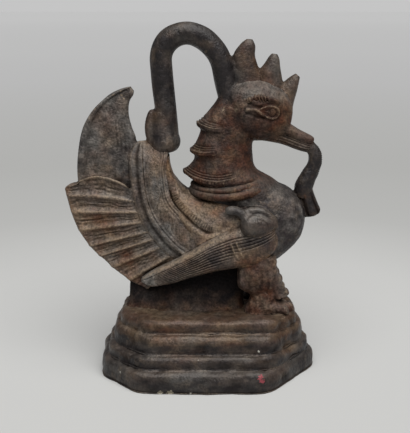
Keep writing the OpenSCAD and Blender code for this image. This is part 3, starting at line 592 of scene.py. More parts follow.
def toe(turn, reach):
    """A toe of three knuckles that thins to a claw, turned about the heel."""
    t = np.linspace(0, 1, 29)
    knuckles = 1 + 0.1 * np.cos(2 * np.pi * 2.2 * t)
    r = TOE_RADIUS * (1 - 0.2 * t) * knuckles * np.sqrt(1 - np.clip(t, 0.86, 1) ** 12)
    x = reach * (0.05 + 0.95 * t) + r[-1]
    z = np.maximum(r, 0.35) + 3.4 * (1 - t) ** 2
    a = np.linspace(0, 2 * np.pi, 20, endpoint=False)
    ring = np.stack([np.repeat(x[:, None], 20, 1), np.maximum(r, 0.3)[:, None] * np.cos(a),
                     z[:, None] + np.maximum(r, 0.3)[:, None] * np.sin(a)], -1)
    c, s = np.cos(np.radians(turn)), np.sin(np.radians(turn))
    return ring @ np.array([[c, s, 0], [-s, c, 0], [0, 0, 1]]) + [HEEL_X, -LEG_SPREAD, -LEG_HEIGHT]


def foot_relief(p, u, v):
    """Wrinkles of skin that run down over the instep to the toes."""
    return 0.11 * np.sin(2.2 * p[:, 0] + 0.8 * p[:, 2] + 1.8 * uneven(p * 2.2)) + 0.1 * uneven(p * 4)


ankle = rings(tube(ANKLE, 24), oval(40, 0.95)) - [0, LEG_SPREAD, 0]
instep = rings(tube(INSTEP, 24), oval(40, 0.95)) * [1, 1.3, 1] - [0, LEG_SPREAD, 0]
TOES = [(-TOE_SPLAY, SIDE_TOE), (0, MIDDLE_TOE), (TOE_SPLAY, SIDE_TOE), (180, HIND_TOE)]
toes = [toe(turn, reach) for turn, reach in TOES]
foot = [np.maximum(g, [-99, -99, -LEG_HEIGHT - 0.4]) for g in [ankle, instep] + toes]
cast_pair("foot", foot, red, foot_relief, voxel=0.5, smooth=14, grey=0.38, dark=-0.12)

# %% [markdown]
# ## Trunk
#
# The trunk is a full breast that thins behind into the inner ridge of the tail. A knife groove with a
# fringe of short cuts runs down the ridge and turns forward over the flank, and a raised band follows it.
# The groove is one line in side view, pressed into both flanks at once.

# %% Trunk with its fringed groove
BODY_HALF = 13.75
TRUNK = [[40.3, 20.6, 40.3, 18.4, 0.12], [38.6, 26.6, 38.4, 11.6, 0.6], [34.4, 31.4, 33, 5.2, 0.86],
         [26, 35, 26, 1.2, 1], [14, 35.3, 14, 0, 1], [3, 33, 2, 1.6, 0.93], [-2.2, 31.6, -2.4, 4, 0.87],
         [-6.5, 30.9, -6, 7.5, 0.8], [-10.8, 33.8, -12, 18.4, 0.64], [-13.7, 37.8, -15.6, 27, 0.54],
         [-15.2, 42, -17.6, 36, 0.47], [-15.8, 46.4, -18.7, 46, 0.4]]
FLANK_GROOVE = [(-17.4, 42), (-16.6, 34), (-15.3, 28.6), (-11.7, 24.4), (-7.6, 20.6), (-3.6, 17.7),
                (-0.3, 16.2), (2.9, 16.6), (6.2, 18.8), (11, 20.8)]
WING_RIDGE = [(-3.6, 10.5), (0.5, 13.9), (2.5, 15.6), (5.3, 18.5), (11.7, 21.4), (14, 22)]
BOSS_ARCS = [[(12.4, 26.9), (15.4, 28.2), (18.4, 28.4), (21.6, 27.8), (24.4, 26.1), (27.3, 22)],
             [(13.6, 25.6), (16.4, 26.9), (19.6, 27), (22.4, 26), (25.4, 23)]]
FRINGE_STEP = 1.15
NECKLACE_DROOP = 1.9


def necklace_line(p, back, front):
    """Height of a point above a necklace line that droops between its back and its front."""
    mix = np.clip((p[:, 0] - back[0]) / (front[0] - back[0]), 0, 1)
    return p[:, 2] - back[1] - (front[1] - back[1]) * mix + 4 * NECKLACE_DROOP * mix * (1 - mix)


def trunk_relief(p, u, v):
    d, run, length = along(p, FLANK_GROOVE)
    inside = between(run, 9, length - 2, 2)
    groove = -0.6 * bump(d, 0.75) * inside
    band = 0.4 * bump(d + 2.0, 1.1) * inside
    strokes = np.cos(2 * np.pi * (run / FRINGE_STEP + 0.2 * uneven(p * 3)))
    fringe = (0.1 + 0.42 * strokes) * between(d, 0.9, 3.0 + 0.5 * uneven(p * 3), 0.25)
    fringe = fringe * between(run, 10, length - 3.5, 1.2)
    lip = 0.2 * bump(d - 3.5, 0.5) * between(run, 6, length - 8, 1.2)
    ridge = 0.5 * bump(along(p, WING_RIDGE)[0], 1.1)
    off = [along(p, line)[0] for line in BOSS_ARCS]
    arcs = sum(-0.35 * bump(far, 0.4) + 0.15 * bump(far - 0.9, 0.5) for far in off)
    under = -0.5 * bump(necklace_line(p, (-6.8, 29.6), (24.4, 32.4)), 0.5) * between(p[:, 0], -5, 22, 1)
    marks = (groove + band + fringe + lip + ridge + arcs) * between(np.abs(p[:, 1]), 2.2, 99, 0.4)
    return marks + under + 0.08 * uneven(p * 4)


def trunk_shade(p, u, v):
    """The breast is blacker than the flank, where earth lies beside the groove."""
    breast = between(p[:, 0], 10, 99, 3)
    return 1.32 * breast - 0.5, 0.8 * breast - 0.3


trunk = rings(curve(sized(TRUNK, kw=BODY_HALF), 165), oval(160, 0.86))
cast("body", trunk, oxide, trunk_relief, rough=0.25, grey=0.55, dark=0.15, shade=trunk_shade)

# %% [markdown]
# ## Tail
#
# The tail is built outward from one sweep: a covert band with rolled edges, a dark cord, a fan of fluted
# rays and a tall plume. All bands are laid beside the same line, so one function gives every point of
# them. The flutes are hollows between thin ridges, as a round-ended tool leaves them in wax.

# %% The sweep that all bands follow
SWEEP = [(-18.7, 56), (-18.5, 50), (-18.1, 40), (-17, 31.3), (-15.2, 25.5), (-12.1, 20.5), (-7.9, 15.8),
         (-2, 12), (5, 9.5)]
TAIL_THICK = 14.0
COVERTS_WIDTH = 10.2
CORD_WIDTH = 4.6
SWEEP_STEPS = 800
sweep_line = curve(SWEEP, SWEEP_STEPS)
sweep_way = np.gradient(sweep_line, axis=0)
sweep_way /= np.linalg.norm(sweep_way, axis=1)[:, None]
sweep_out = np.stack([sweep_way[:, 1], -sweep_way[:, 0]], -1)


def on_sweep(s):
    """Point of the sweep and its outward direction at station s, 0 at the cup and 7 at the flank."""
    k = np.rint((np.asarray(s) + 1) * SWEEP_STEPS / 8).astype(int)
    return sweep_line[k], sweep_out[k]


def both_sides(half, steps):
    """Closed section from a half drawn as (across, out) points."""
    h = curve(half, steps)
    return np.concatenate([h, h[::-1] * [1, -1]])


def share_across(section, u):
    """How far across its section each point of a capped skin lies, 0 to 1."""
    rows = (len(u) - 2) // len(section)
    return np.append(np.tile((1 + section[:, 0]) / 2, rows), [0.5, 0.5])


# %% Covert band
COVERTS = both_sides([(-1, 0.82), (-0.97, 0.95), (-0.9, 1.0), (-0.6, 1.01), (0, 0.98), (0.5, 0.93),
                      (0.75, 0.94), (0.9, 0.9), (1, 0.7)], 64)
COVERTS_HALF = [2.5, 6.0, 6.6, 7.4, 8.2, 9.0, 9.8, 10.2]
# Knife lines along the band: how far across, and how deep
COVERTS_LINES = [(0.08, 0.2), (0.17, 0.3), (0.26, 0.22), (0.76, 0.2), (0.86, 0.28)]


def coverts_rings(steps):
    """A strip between the groove on the flank and a line that keeps its distance from the sweep."""
    s = np.linspace(-0.3, 6.4, steps + 1)
    p, out = on_sweep(s)
    inner = curve([(-17.5, 53.6), (-16.4, 47.5)] + FLANK_GROOVE[:7] + [(1.5, 14)], steps)
    half = curve(np.array(COVERTS_HALF)[:, None], steps) * np.minimum(1, 0.3 + (s[:, None] + 0.3) * 1.6)
    return rings(np.concatenate([inner, p + out * COVERTS_WIDTH, half], 1), COVERTS)


def coverts_relief(p, u, v):
    f = share_across(COVERTS, u)
    strip = between(f, 0.34, 0.74, 0.02)
    stipple = np.sin(2 * np.pi * (u * 55 + 3 * f)) * np.sin(2 * np.pi * (f * 13 + 2 * u))
    wavy = f + 0.008 * uneven(p * 1.5)
    lines = sum(-dirt_and_shade * bump(wavy - at, 0.022) for at, dirt_and_shade in COVERTS_LINES)
    edge = 0.15 * bump(f - 0.94, 0.04) + 0.2 * bump(f - 0.12, 0.03)
    return (0.3 * stipple * strip + lines + edge) * between(u, 0.05, 2, 0.02) + 0.08 * uneven(p * 4)


cast("tail_coverts", coverts_rings(130), rubbed, coverts_relief, grey=0.4, dark=-0.25)

# %% Cord, a dark channel with a thin outer ridge
CORD = both_sides([(-1, 0.96), (-0.5, 0.95), (-0.1, 0.91), (0.3, 0.87), (0.7, 0.78), (1, 0.6)], 30)


def cord_rings(steps):
    s = np.linspace(-0.3, 6.2, steps + 1)
    p, out = on_sweep(s)
    fade = np.sqrt(np.clip((s + 0.32) / 0.7, 0, 1))[:, None]
    half = np.linspace(0.4 * TAIL_THICK, 0.68 * TAIL_THICK, steps + 1)[:, None] * fade
    far = COVERTS_WIDTH - 1.2 + (CORD_WIDTH + 1.2) * fade
    return rings(np.concatenate([p + out * (COVERTS_WIDTH - 1.5), p + out * far, half], 1), CORD)


def cord_relief(p, u, v):
    f = share_across(CORD, u)
    return -0.4 * bump(f - 0.4, 0.15) + 0.15 * bump(f - 0.82, 0.1)


cast("tail_cord", cord_rings(120), rubbed, cord_relief, dark=0.45, grey=0.9)

# %% Fluted fan
FAN_FROM, FAN_TO = 1.66, 5.6
FAN_LEAN = math.radians(18)
FAN_REACH = 28.6
FAN_RAYS = 8
FAN_EDGE = 2.5
FAN_ROOT = 5.2
FLUTE = 1.2


def evened(a, reach):
    """Points of a line averaged with their neighbours on both sides, ends kept."""
    k = np.arange(len(a))
    near = np.minimum(reach, np.minimum(k, len(a) - 1 - k))
    return np.array([a[i - n:i + n + 1].mean(0) for i, n in zip(k, near)])


def fan_rings():
    t = np.linspace(0, 1, FAN_RAYS * 28 + 1)[:, None]
    q = np.append(np.linspace(0, 0.95, 48), [0.97, 0.985, 0.995, 1.0])[None, :]
    p, out = (evened(a, 14) for a in on_sweep(FAN_FROM + (FAN_TO - FAN_FROM) * t[:, 0]))
    c, s = math.cos(FAN_LEAN), math.sin(FAN_LEAN)
    way = np.stack([out[:, 0] * c + out[:, 1] * s, out[:, 1] * c - out[:, 0] * s], -1)
    root = p + out * (COVERTS_WIDTH + CORD_WIDTH - 1.5)
    ridge = np.abs(np.cos(np.pi * FAN_RAYS * t)) ** 5
    reach = FAN_REACH * (1 - 0.36 * t**2) + 1.5 - 1.6 * np.maximum(0, 1 - 14 * t) ** 2
    top = np.maximum(0, 1 - 5 * t) ** 2
    arch = top * (3.4 * np.sin(np.pi * np.minimum(1, 1.1 * q)) - 13 * np.maximum(0, q - 0.55) ** 1.5)
    half = FAN_ROOT + (FAN_EDGE - FAN_ROOT) * q + 2.6 * t**3
    # The flutes run out before the rim, which stays a smooth curve
    half = half - FLUTE * (1 - ridge) * np.minimum(1, 3 * q) * (1 - 0.75 * np.maximum(0, 5 * q - 4))
    half = half * np.sqrt(np.maximum(0.06, 1 - np.maximum(0, (q - 0.95) / 0.05) ** 2))
    x = root[:, :1] + way[:, :1] * reach * q
    z = root[:, 1:] + way[:, 1:] * reach * q + arch
    side = np.stack([x, half, z], -1)
    return np.concatenate([side, mirrored(side[:, ::-1])], 1)


def fan_relief(p, u, v):
    reach = np.minimum(v, 1 - v) * 2
    ray_number = u * FAN_RAYS
    turn = 2 * np.pi
    sway = 0.5 * np.sin(turn * (1.1 * reach + 0.37 * ray_number)) + 0.25 * np.sin(turn * 2.7 * reach)
    sway = sway + 0.7 * uneven(p * 1.6)
    hair = np.sin(turn * (ray_number * 4 + 0.5 * sway)) + 0.6 * np.sin(turn * (ray_number * 6.7 - sway))
    ridge = np.abs(np.cos(np.pi * ray_number)) ** 14
    flute = np.sin(np.pi * ray_number) ** 2
    rim = between(reach, 0.1, 0.93, 0.02)
    return (0.17 * hair * flute - 0.14 * flute) * rim + 0.32 * ridge * between(reach, 0.02, 0.97, 0.02)


cast("tail_fan", fan_rings(), rubbed, fan_relief, grey=0.3, dark=-0.22)

# %% Tall plume with a raised margin
PLUME_RISE = 41.0
PLUME_HALF = 4.4
PLUME = [[-23, 0.02, 1.6, -0.05, 0.55], [-22.8, 0.28, 1.6, 0.22, 1], [-21.4, 0.49, 1.6, 0.45, 0.96],
         [-19, 0.65, -0.4, 0.6, 0.9], [-15.2, 0.79, -1.6, 0.71, 0.82], [-10, 0.9, -1.7, 0.8, 0.72],
         [-5.2, 0.965, -1.0, 0.865, 0.6], [-2.2, 0.992, 0.5, 0.915, 0.46], [-0.5, 1.0, 0.9, 0.955, 0.25]]
PLUME_SECTION = both_sides([(-1, 0.5), (-0.97, 0.85), (-0.88, 1), (-0.78, 0.98), (-0.68, 0.78),
                            (-0.56, 0.68), (0, 0.72), (0.4, 0.76), (0.8, 0.66), (0.95, 0.5), (1, 0.3)], 60)
# The plume stands on the outer edge of the cord, at this station of the sweep
PLUME_STATION = 1.88
PLUME_SHIFT = (0.6, 3.5)
plume_root, plume_out = on_sweep(PLUME_STATION)
plume_at = plume_root + plume_out * (COVERTS_WIDTH + CORD_WIDTH) + PLUME_SHIFT


def plume_relief(p, u, v):
    f = share_across(PLUME_SECTION, u)
    drift = f + 0.03 * np.sin(8 * u + 2) + 0.05 * u
    lines = sum(-0.26 * bump(drift - at, 0.012) for at in (0.66, 0.73, 0.8, 0.87))
    lines = lines * between(u, 0.02, 0.5, 0.06)
    hatch = 0.16 * np.sin(2 * np.pi * u * 46) * between(f, 0.03, 0.15, 0.02) * between(u, 0.05, 0.45, 0.05)
    x, z = p[:, 0], p[:, 2]
    pits = -0.3 * np.maximum(0, np.sin(x * 2.1 + 1.3 * np.sin(z)) * np.sin(z * 1.9 + x))
    return lines + hatch + pits * between(f, 0.25, 0.62, 0.04) * between(u, 0.05, 0.6, 0.08)


plume = rings(curve(sized(PLUME, plume_at, kz=PLUME_RISE, kw=PLUME_HALF), 100), PLUME_SECTION)
cast("tail_plume", plume, rubbed, plume_relief, rough=0.3, grey=0.8, dark=0.45)

# %% [markdown]
# ## Handle and cup
#
# The handle is one bent bar, as thick as a small finger, set in a cup of wax on the tail ridge and
# brought down on the nape. It is a tube along two legs and two arcs. The cup is a soft lump with an
# ear-like bud behind it, so the two are fused.

# %% Bent bar
BAR_RADIUS = 4.5
BAR_FOOT = np.array([-16.4, 51.5])
BAR_LEAN, BEND_JOIN, FRONT_LEAN = (math.radians(a) for a in (5, 70, 12))
LOOP_RISE, REAR_BEND, FRONT_BEND = 43.6, 10.2, 17.6
HEAD_AT = np.array([21.0, 64.5])
# Where the bar meets the nape above the middle of the head, and how far it goes on inside
NAPE_RISE, BAR_SUNK = 9.6, 7.0


def ray(angle):
    return np.array([math.cos(angle), math.sin(angle)])


rear_leg = (LOOP_RISE - REAR_BEND * (1 + math.sin(BAR_LEAN))) / math.cos(BAR_LEAN)
rear_top = BAR_FOOT + rear_leg * ray(math.pi / 2 + BAR_LEAN)
rear_mid = rear_top + REAR_BEND * ray(BAR_LEAN)
front_mid = rear_mid + (REAR_BEND - FRONT_BEND) * ray(BEND_JOIN)
front_top = front_mid + FRONT_BEND * ray(FRONT_LEAN)
front_leg = (front_top[1] - HEAD_AT[1] - NAPE_RISE) / math.cos(FRONT_LEAN)
front_end = front_top + (front_leg + BAR_SUNK) * ray(FRONT_LEAN - math.pi / 2)
bar_line = [BAR_FOOT + (rear_top - BAR_FOOT) * t for t in np.linspace(0, 1, 12)]
bar_line += [rear_mid + REAR_BEND * ray(a) for a in np.linspace(math.pi + BAR_LEAN, BEND_JOIN, 22)[1:]]
bar_line += [front_mid + FRONT_BEND * ray(a) for a in np.linspace(BEND_JOIN, FRONT_LEAN, 14)[1:]]
bar_line += [front_top + (front_end - front_top) * t for t in np.linspace(0, 1, 7)[1:]]
bar_path = np.column_stack([bar_line, np.full(len(bar_line), BAR_RADIUS)])
cast("handle", rings(tube(bar_path, 190), oval(52, 0.97)), handled, rough=0.22, dark=0.9, grey=0.6)

# %% Cup with its bud
CUP_AT = (-17.4, 46.6)
CUP_RADIUS = 7.0
# A bulb that the bar swells into: share of the radius, and height above its lowest point
CUP = [(0.25, 0), (0.6, 0.7), (0.84, 2.6), (0.93, 5.0), (0.86, 7.4), (0.77, 10.4), (0.7, 13.2), (0.66, 16),
       (0.6, 18)]
BUD = [(-21.4, 49.6, 2.8), (-22.6, 53, 3.1), (-23.2, 57, 3.0), (-23.3, 60.6, 2.6), (-23, 63.6, 2.0),
       (-22.8, 65.2, 0.9)]
cup_path = [(CUP_AT[0] - up * math.sin(BAR_LEAN), CUP_AT[1] + up * math.cos(BAR_LEAN), r * CUP_RADIUS)
            for r, up in CUP]
lumps = [rings(tube(cup_path, 40), oval(64, 1)), rings(tube(BUD, 30), oval(28, 0.9))]
cast("handle_cup", lumps, handled, voxel=0.45, rough=0.3, dark=0.35, grey=0.5)

# %% [markdown]
# ## Neck, ruffs and necklace
#
# Three ruffs hang over each other behind the neck like overlapping feathers, with fine rings above each
# lip and a fringe of small cuts on the lowest. Two rolls of wax make the necklace. A ruff is a skirt:
# rings that go out to a lip and back in under it, wider at the nape than at the throat.

# %% Neck
NECK_WIDTH = 24.0
NECK = [[-3, 26, 36, 28, 1.04], [-5.6, 33, 27.4, 35.6, 0.98], [-6.4, 39, 19.9, 40.2, 0.88],
        [-5.8, 46.5, 18, 46, 0.76], [-4.2, 53.5, 18, 52.5, 0.68], [-1, 60.5, 19.4, 57.5, 0.62],
        [4.5, 67.5, 22, 63.5, 0.6]]


def neck_relief(p, u, v):
    groove = -0.5 * bump(necklace_line(p, (-6.6, 35.9), (22.4, 38.7)), 0.5)
    return groove * between(p[:, 0], -99, 19, 1) + 0.08 * uneven(p * 4)


def neck_shade(p, u, v):
    """Below the necklace the neck runs out into the grey of the breast."""
    foot = between(p[:, 2], -99, 35, 1)
    return 0.5 * foot, 0.9 * foot


neck = rings(curve(sized(NECK, kw=NECK_WIDTH / 2), 70), oval(110, 0.95))
cast("neck", neck, red, neck_relief, grey=-0.25, dark=0.4, shade=neck_shade)


# %% Ruffs
def collar(back, front, half, droop, n=150):
    """Ring round the neck that hangs lower at the sides than front and back."""
    a = np.linspace(0, 2 * np.pi, n, endpoint=False)
    mix = (1 - np.cos(a)) / 2
    x = back[0] + (front[0] - back[0]) * mix
    z = back[1] + (front[1] - back[1]) * mix - droop * np.sin(a) ** 2
    return np.stack([x, half * np.sin(a), z], -1)


def skirt(top, lip, under, half, droop):
    """Skirt from a top ring, out to a rolled lip and back in under it, rings given by back and front."""
    t, m, b = (np.array(x, float) for x in (top, lip, under))
    part = t * 0.45 + m * 0.55 + [[0.5, 0], [0, 0]]
    near = t * 0.2 + m * 0.8 + [[0.35, 0.2], [0, 0.2]]
    keys = [collar(t[0], t[1], half[0], 0),
            collar(part[0], part[1], half[0] * 0.38 + half[1] * 0.62, 0.45 * droop),
            collar(near[0], near[1], half[0] * 0.16 + half[1] * 0.84, 0.75 * droop),
            collar(m[0] + [0.1, 0.7], m[1] + [0, 0.7], half[1] - 0.2, droop),
            collar(m[0] - [0, 0.5], m[1] - [0, 0.5], half[1], droop),
            collar(m[0] * 0.7 + b[0] * 0.3 - [0, 0.5], m[1] - [0, 1], half[1] - 0.9, droop),
            collar(b[0], b[1], half[2], droop * 0.6)]
    return curve(np.array(keys), 54)


def ruff_relief(lines, fringe, round_front):
    """Rings above the lip, strongest at the nape, and a fringe of cuts on the lip itself."""
    def relief(p, u, v):
        nape = round_front + (1 - round_front) * between(np.cos(2 * np.pi * v), 0.05, 2, 0.12)
        drift = u + 0.006 * uneven(p * 2.5)
        ring = sum(-0.36 * bump(drift - at, 0.012) + 0.14 * bump(drift - at - 0.03, 0.012) for at in lines)
        strokes = np.cos(2 * np.pi * (v * 84 + 0.3 * uneven(p * 3)))
        cuts = 0.26 * strokes * between(u, 0.51, 0.68, 0.012) * fringe
        return (ring + cuts + 0.3 * bump(u - 0.5, 0.03)) * nape + 0.08 * uneven(p * 4)
    return relief


FLARE = 4.6
# Top, lip and underside, half widths, droop, where the rings lie, fringe, strength in front, and soot
RUFFS = {
    "lower_ruff": (([-4.2, 47], [15, 47]), ([-5.9 - FLARE, 39.6], [18.2, 41]), ([-4, 34.5], [17, 37.5]),
                   (0.37, 0.49, 0.41), 3.8, (0.27, 0.35, 0.43), 1, 0.8, 0.4),
    "middle_ruff": (([-2.7, 57.4], [8, 55]), ([-4.7 - 0.64 * FLARE, 48.1], [9.4, 50.4]),
                    ([-3.5, 45], [8, 46.5]), (0.27, 0.395, 0.3), 1.2, (0.24, 0.32, 0.4), 0.5, 0.1, 0.44),
    "upper_ruff": (([5.2, 72], [12, 64.5]), ([-2.2 - 0.55 * FLARE, 59.2], [10.4, 58]),
                   ([-2, 56.2], [8, 54.5]), (0.19, 0.345, 0.25), 1.2, (0.34, 0.4, 0.46), 0.5, 0.05, 0.18)}
for name, (top, lip, under, half, droop, lines, fringe, front, soot) in RUFFS.items():
    ruff = skirt(top, lip, under, np.array(half) * NECK_WIDTH, droop)
    cast(name, ruff, red, ruff_relief(lines, fringe, front), grey=0.2 - soot, dark=soot)

# %% Necklace
ROLL_RADIUS = 1.2


def roll(back, front, half, droop, radius, n=190, sides=20):
    """Roll bent round the neck along a collar line."""
    line = collar(back, front, half, droop, n)
    out = (line[:, :2] - [(back[0] + front[0]) / 2, 0]) / [front[0] - back[0], 2 * half]
    out /= np.linalg.norm(out, axis=1)[:, None]
    a = np.linspace(0, 2 * np.pi, sides, endpoint=False)
    grow = radius * np.cos(a)[None, :, None] * out[:, None, :]
    rise = np.repeat(radius * np.sin(a)[None, :, None], n, 0)
    return line[:, None, :] + np.concatenate([grow, rise], -1)


rolls = [roll((-6.6, 34), (22.4, 36.8), NECK_WIDTH / 2 + 0.4, NECKLACE_DROOP, ROLL_RADIUS),
         roll((-6.8, 31.8), (24.4, 34.4), NECK_WIDTH / 2 + 1.1, NECKLACE_DROOP, 1.4 * ROLL_RADIUS)]
cast("necklace", rolls, red, loop=True, grey=0.15, dark=0.45, seam=0.6)

# %% [markdown]
# ## Head
#
# The skull is a domed block with a flat cheek. Three flame-shaped prongs stand on it as a crest, the bill
# has knife lines along it, and the eye is a thin rolled thread of wax laid in an almond, drawn out to a
# tail behind. The thread is pressed as a ridge along one closed line.

# %% Skull
HEAD_HALF = (13.5, 12.2, 9.3)
SKULL = [[-1.04, 0.6, -0.82, -0.3, 0.58], [-0.78, 0.88, -0.62, -0.76, 0.86], [-0.34, 1.01, -0.28, -0.96, 1],
         [0.08, 0.98, 0.1, -1, 1], [0.46, 0.83, 0.44, -0.99, 0.9], [0.76, 0.6, 0.7, -0.88, 0.72],
         [0.93, 0.26, 0.86, -0.6, 0.46], [0.96, 0, 0.92, -0.28, 0.2]]
# Thread of the eye: its tail, the lower lid, and back over the upper lid
EYE_LINE = [(14.8, 65.7), (17, 66), (19, 65.6), (21.4, 63.9), (24.8, 62.4), (27, 62.9), (27.8, 64.4),
            (27.2, 66.2), (24.4, 67.2), (21.8, 66.6), (19.6, 65.5)]
HOLLOWS = [[(14.8, 64.3), (17, 63.9), (19.3, 63), (21.7, 62.4)],
           [(15.6, 68.2), (17.2, 68), (19, 67.4), (20.6, 67)]]


def skull_relief(p, u, v):
    side = between(np.abs(p[:, 1]), 4, 99, 0.6)
    socket = -0.25 * bump(np.abs(along(p, EYE_LINE)[0]) - 0.9, 0.5)
    tail = 0.4 * bump(along(p, EYE_LINE[:4])[0], 0.5)
    hollows = sum(-0.45 * bump(along(p, line)[0], 0.6) for line in HOLLOWS)
    return (np.where(tail > 0.1, tail, socket) + hollows * (1 - 2 * tail)) * side + 0.08 * uneven(p * 4)


def skull_grey_and_top_light(p, u, v):
    """The dome is rubbed grey and painted lighter as top light, the cheek dark."""
    dome = between(p[:, 2], 69, 99, 1.5) * between(p[:, 0], 12.5, 99, 1.2)
    return 0.06 - 0.56 * dome, 0.7 * dome


skull = rings(curve(sized(SKULL, HEAD_AT, *HEAD_HALF), 110), oval(170, 0.9))
cast("head", skull, red, skull_relief, grey=0.15, dark=0.1, shade=skull_grey_and_top_light)

# %% Crest prongs
PRONG_HALF = 3.3
# Height of each prong above the middle of the head, and its stations
FLAMES = {
    "rear_prong": (28.5, [[-11.5, 0.28, 1.2, 0.34, 1], [-12, 0.53, -0.4, 0.53, 0.94],
                          [-11.4, 0.77, -2.5, 0.75, 0.84], [-8.6, 0.92, -2.5, 0.9, 0.7],
                          [-6, 0.995, -3.6, 0.99, 0.4]]),
    "middle_prong": (22.8, [[-1.6, 0.36, 10, 0.28, 1], [-0.7, 0.68, 8.6, 0.52, 0.94],
                            [1.5, 0.83, 7.6, 0.75, 0.84], [3, 0.94, 7.2, 0.9, 0.66],
                            [4.2, 0.998, 6.4, 0.985, 0.4]]),
    "front_prong": (14.6, [[6, 0.48, 12, -0.28, 1], [8.8, 0.73, 13.4, 0.25, 0.94],
                           [10.6, 0.85, 14.4, 0.53, 0.8], [12.6, 0.95, 15.1, 0.79, 0.62],
                           [14, 1, 15.4, 0.91, 0.4]])}
for name, (rise, flame) in FLAMES.items():
    prong = rings(curve(sized(flame, HEAD_AT, kz=rise, kw=PRONG_HALF), 36), oval(56, 0.85))
    cast(name, prong, handled, dark=0.22, grey=0.3)

# %% Bill with knife lines
BILL_REACH = 22.4
BILL_HALF = 5.5
UPPER_BILL = [[0.27, -3.0, 0.2, -8.4, 1], [0.53, -5.4, 0.42, -9.9, 0.9], [0.73, -8.0, 0.68, -12.3, 0.76],
              [0.92, -10.2, 0.88, -13.6, 0.62], [0.99, -11.2, 0.98, -13.2, 0.42]]
LOWER_BILL = [[0.2, -7, 0.04, -12.1, 0.95], [0.44, -8.8, 0.36, -13.5, 0.82], [0.69, -11.2, 0.65, -15.8, 0.7],
              [0.88, -12.9, 0.86, -17.1, 0.56], [0.95, -13.6, 0.94, -16.2, 0.34]]


def bill_relief(lines, depth):
    def relief(p, u, v):
        across = np.minimum(v, 1 - v) * 2
        return sum(-depth * bump(across - at, 0.03) for at in lines) * between(u, 0.1, 0.92, 0.04)
    return relief


for name, half, lines, depth in (("upper_bill", UPPER_BILL, (0.22,), 0.35),
                                 ("lower_bill", LOWER_BILL, (0.36, 0.5, 0.64), 0.32)):
    grid = rings(curve(sized(half, HEAD_AT, kx=BILL_REACH, kw=BILL_HALF), 46), oval(72, 0.85))
    cast(name, grid, red, bill_relief(lines, depth), rough=0.12, grey=0.45, dark=0.08)

# %% Eyes and brows
# The middle of eyes and brows lies inside the cheek, so that only their outer part stands out
EYE_Y = 0.92 * HEAD_HALF[2] - 0.9
EYE_LONG, EYE_PROUD, BROW_PROUD = 13, 2.0, 2.3
EYE_AT = HEAD_AT + [0.6, 0.4]
ALMOND = [[0.52, 0.6, 0.52, -0.2, 0.3], [0.4, 2, 0.42, -1.6, 0.8], [0.24, 2.6, 0.26, -2.8, 1],
          [0.04, 2.2, 0.06, -1.7, 0.9], [-0.2, 1.1, -0.18, 0, 0.5], [-0.48, 0.9, -0.48, 0.5, 0.2]]
ARCH = [[-7, 5.2, -6.2, 3.6, 0.5], [-3.2, 6.8, -2.8, 4.6, 0.85], [1.5, 6.8, 1.4, 4.6, 0.9],
        [5.4, 5.6, 4.6, 4, 0.6], [7.6, 4.2, 6.8, 3, 0.3]]
PUPIL = np.array([25.2, 64.7])
BROW_STEP = 1.3


def eye_relief(p, u, v):
    d = along(p, EYE_LINE, 90)[0]
    thread = 0.42 * bump(d, 0.26) - 0.25 * (1 - bump(d, 0.8))
    ball = np.linalg.norm(p[:, [0, 2]] - PUPIL, axis=1)
    return thread + 0.2 * bump(ball, 1.3) - 0.2 * bump(ball - 1.7, 0.25)


def brow_relief(p, u, v):
    strokes = np.cos(2 * np.pi * ((p[:, 0] + 0.4 * p[:, 2]) / BROW_STEP + 0.35 * uneven(p * 4)))
    return (0.2 * strokes * (1 + uneven(p * 2)) + 0.25 * uneven(p * 6)) * between(u, 0.04, 0.75, 0.05)


eye = rings(curve(sized(ALMOND, EYE_AT, kx=EYE_LONG, kw=EYE_PROUD), 60), oval(64, 0.7)) - [0, EYE_Y, 0]
brow = rings(curve(sized(ARCH, HEAD_AT, kw=BROW_PROUD), 80), oval(40, 0.8)) - [0, EYE_Y, 0]
for side, turn in (("right", lambda g: g), ("left", mirrored)):
    cast(side + "_eye", turn(eye), red, eye_relief, rough=0.05, grey=0.2)
    cast(side + "_brow", turn(brow), red, brow_relief, rough=0.08, grey=0.3, seam=1)

# %% [markdown]
# ## Sprig
#
# A twig hangs from the bill to the breast and ends in a drooping blossom. Its outer side is notched like
# bark.

# %% Sprig and blossom
BILL_TIP = HEAD_AT + [BILL_REACH - 1.6, -14.6]
BREAST = np.array([40.3, 20.0])
SPRIG_RADIUS = 2.7
BLOSSOM_RADIUS = 3.5
# Points of a path beside a corner: how far along, how far up, and the share of the radius
UPPER_SPRIG = [(-0.6, 0.4, 0.8), (1.7, -2.6, 0.95), (2.2, -6, 1), (1.2, -9.6, 1.06)]
LOWER_SPRIG = [(0.7, 16.4, 1.2), (-0.8, 12.6, 1.36), (-1.6, 8.4, 1.1)]
BLOSSOM = [(-0.6, 11.6, 0.94), (0.8, 8, 0.96), (2.3, 4, 1.03), (3.2, 2, 1.03), (3.7, 0.9, 0.84),
           (3.9, 0.4, 0.5)]


def path_from(corner, steps, radius):
    return [(corner[0] + x, corner[1] + z, radius * r) for x, z, r in steps]


sprig_path = path_from(BILL_TIP, UPPER_SPRIG, SPRIG_RADIUS) + path_from(BREAST, LOWER_SPRIG, SPRIG_RADIUS)
blossom_path = path_from(BREAST, BLOSSOM, BLOSSOM_RADIUS)


def sprig_relief(p, u, v):
    outer = between(np.cos(2 * np.pi * v), -2, -0.1, 0.12)
    notches = 0.13 * np.cos(2 * np.pi * u * 32) * outer * between(u, 0.1, 0.62, 0.03)
    return notches + 0.1 * uneven(p * 4)


def blossom_relief(p, u, v):
    return -0.5 * bump(np.abs(np.sin(2 * np.pi * v)) - 0.75, 0.16) * between(u, 0.1, 0.95, 0.05)


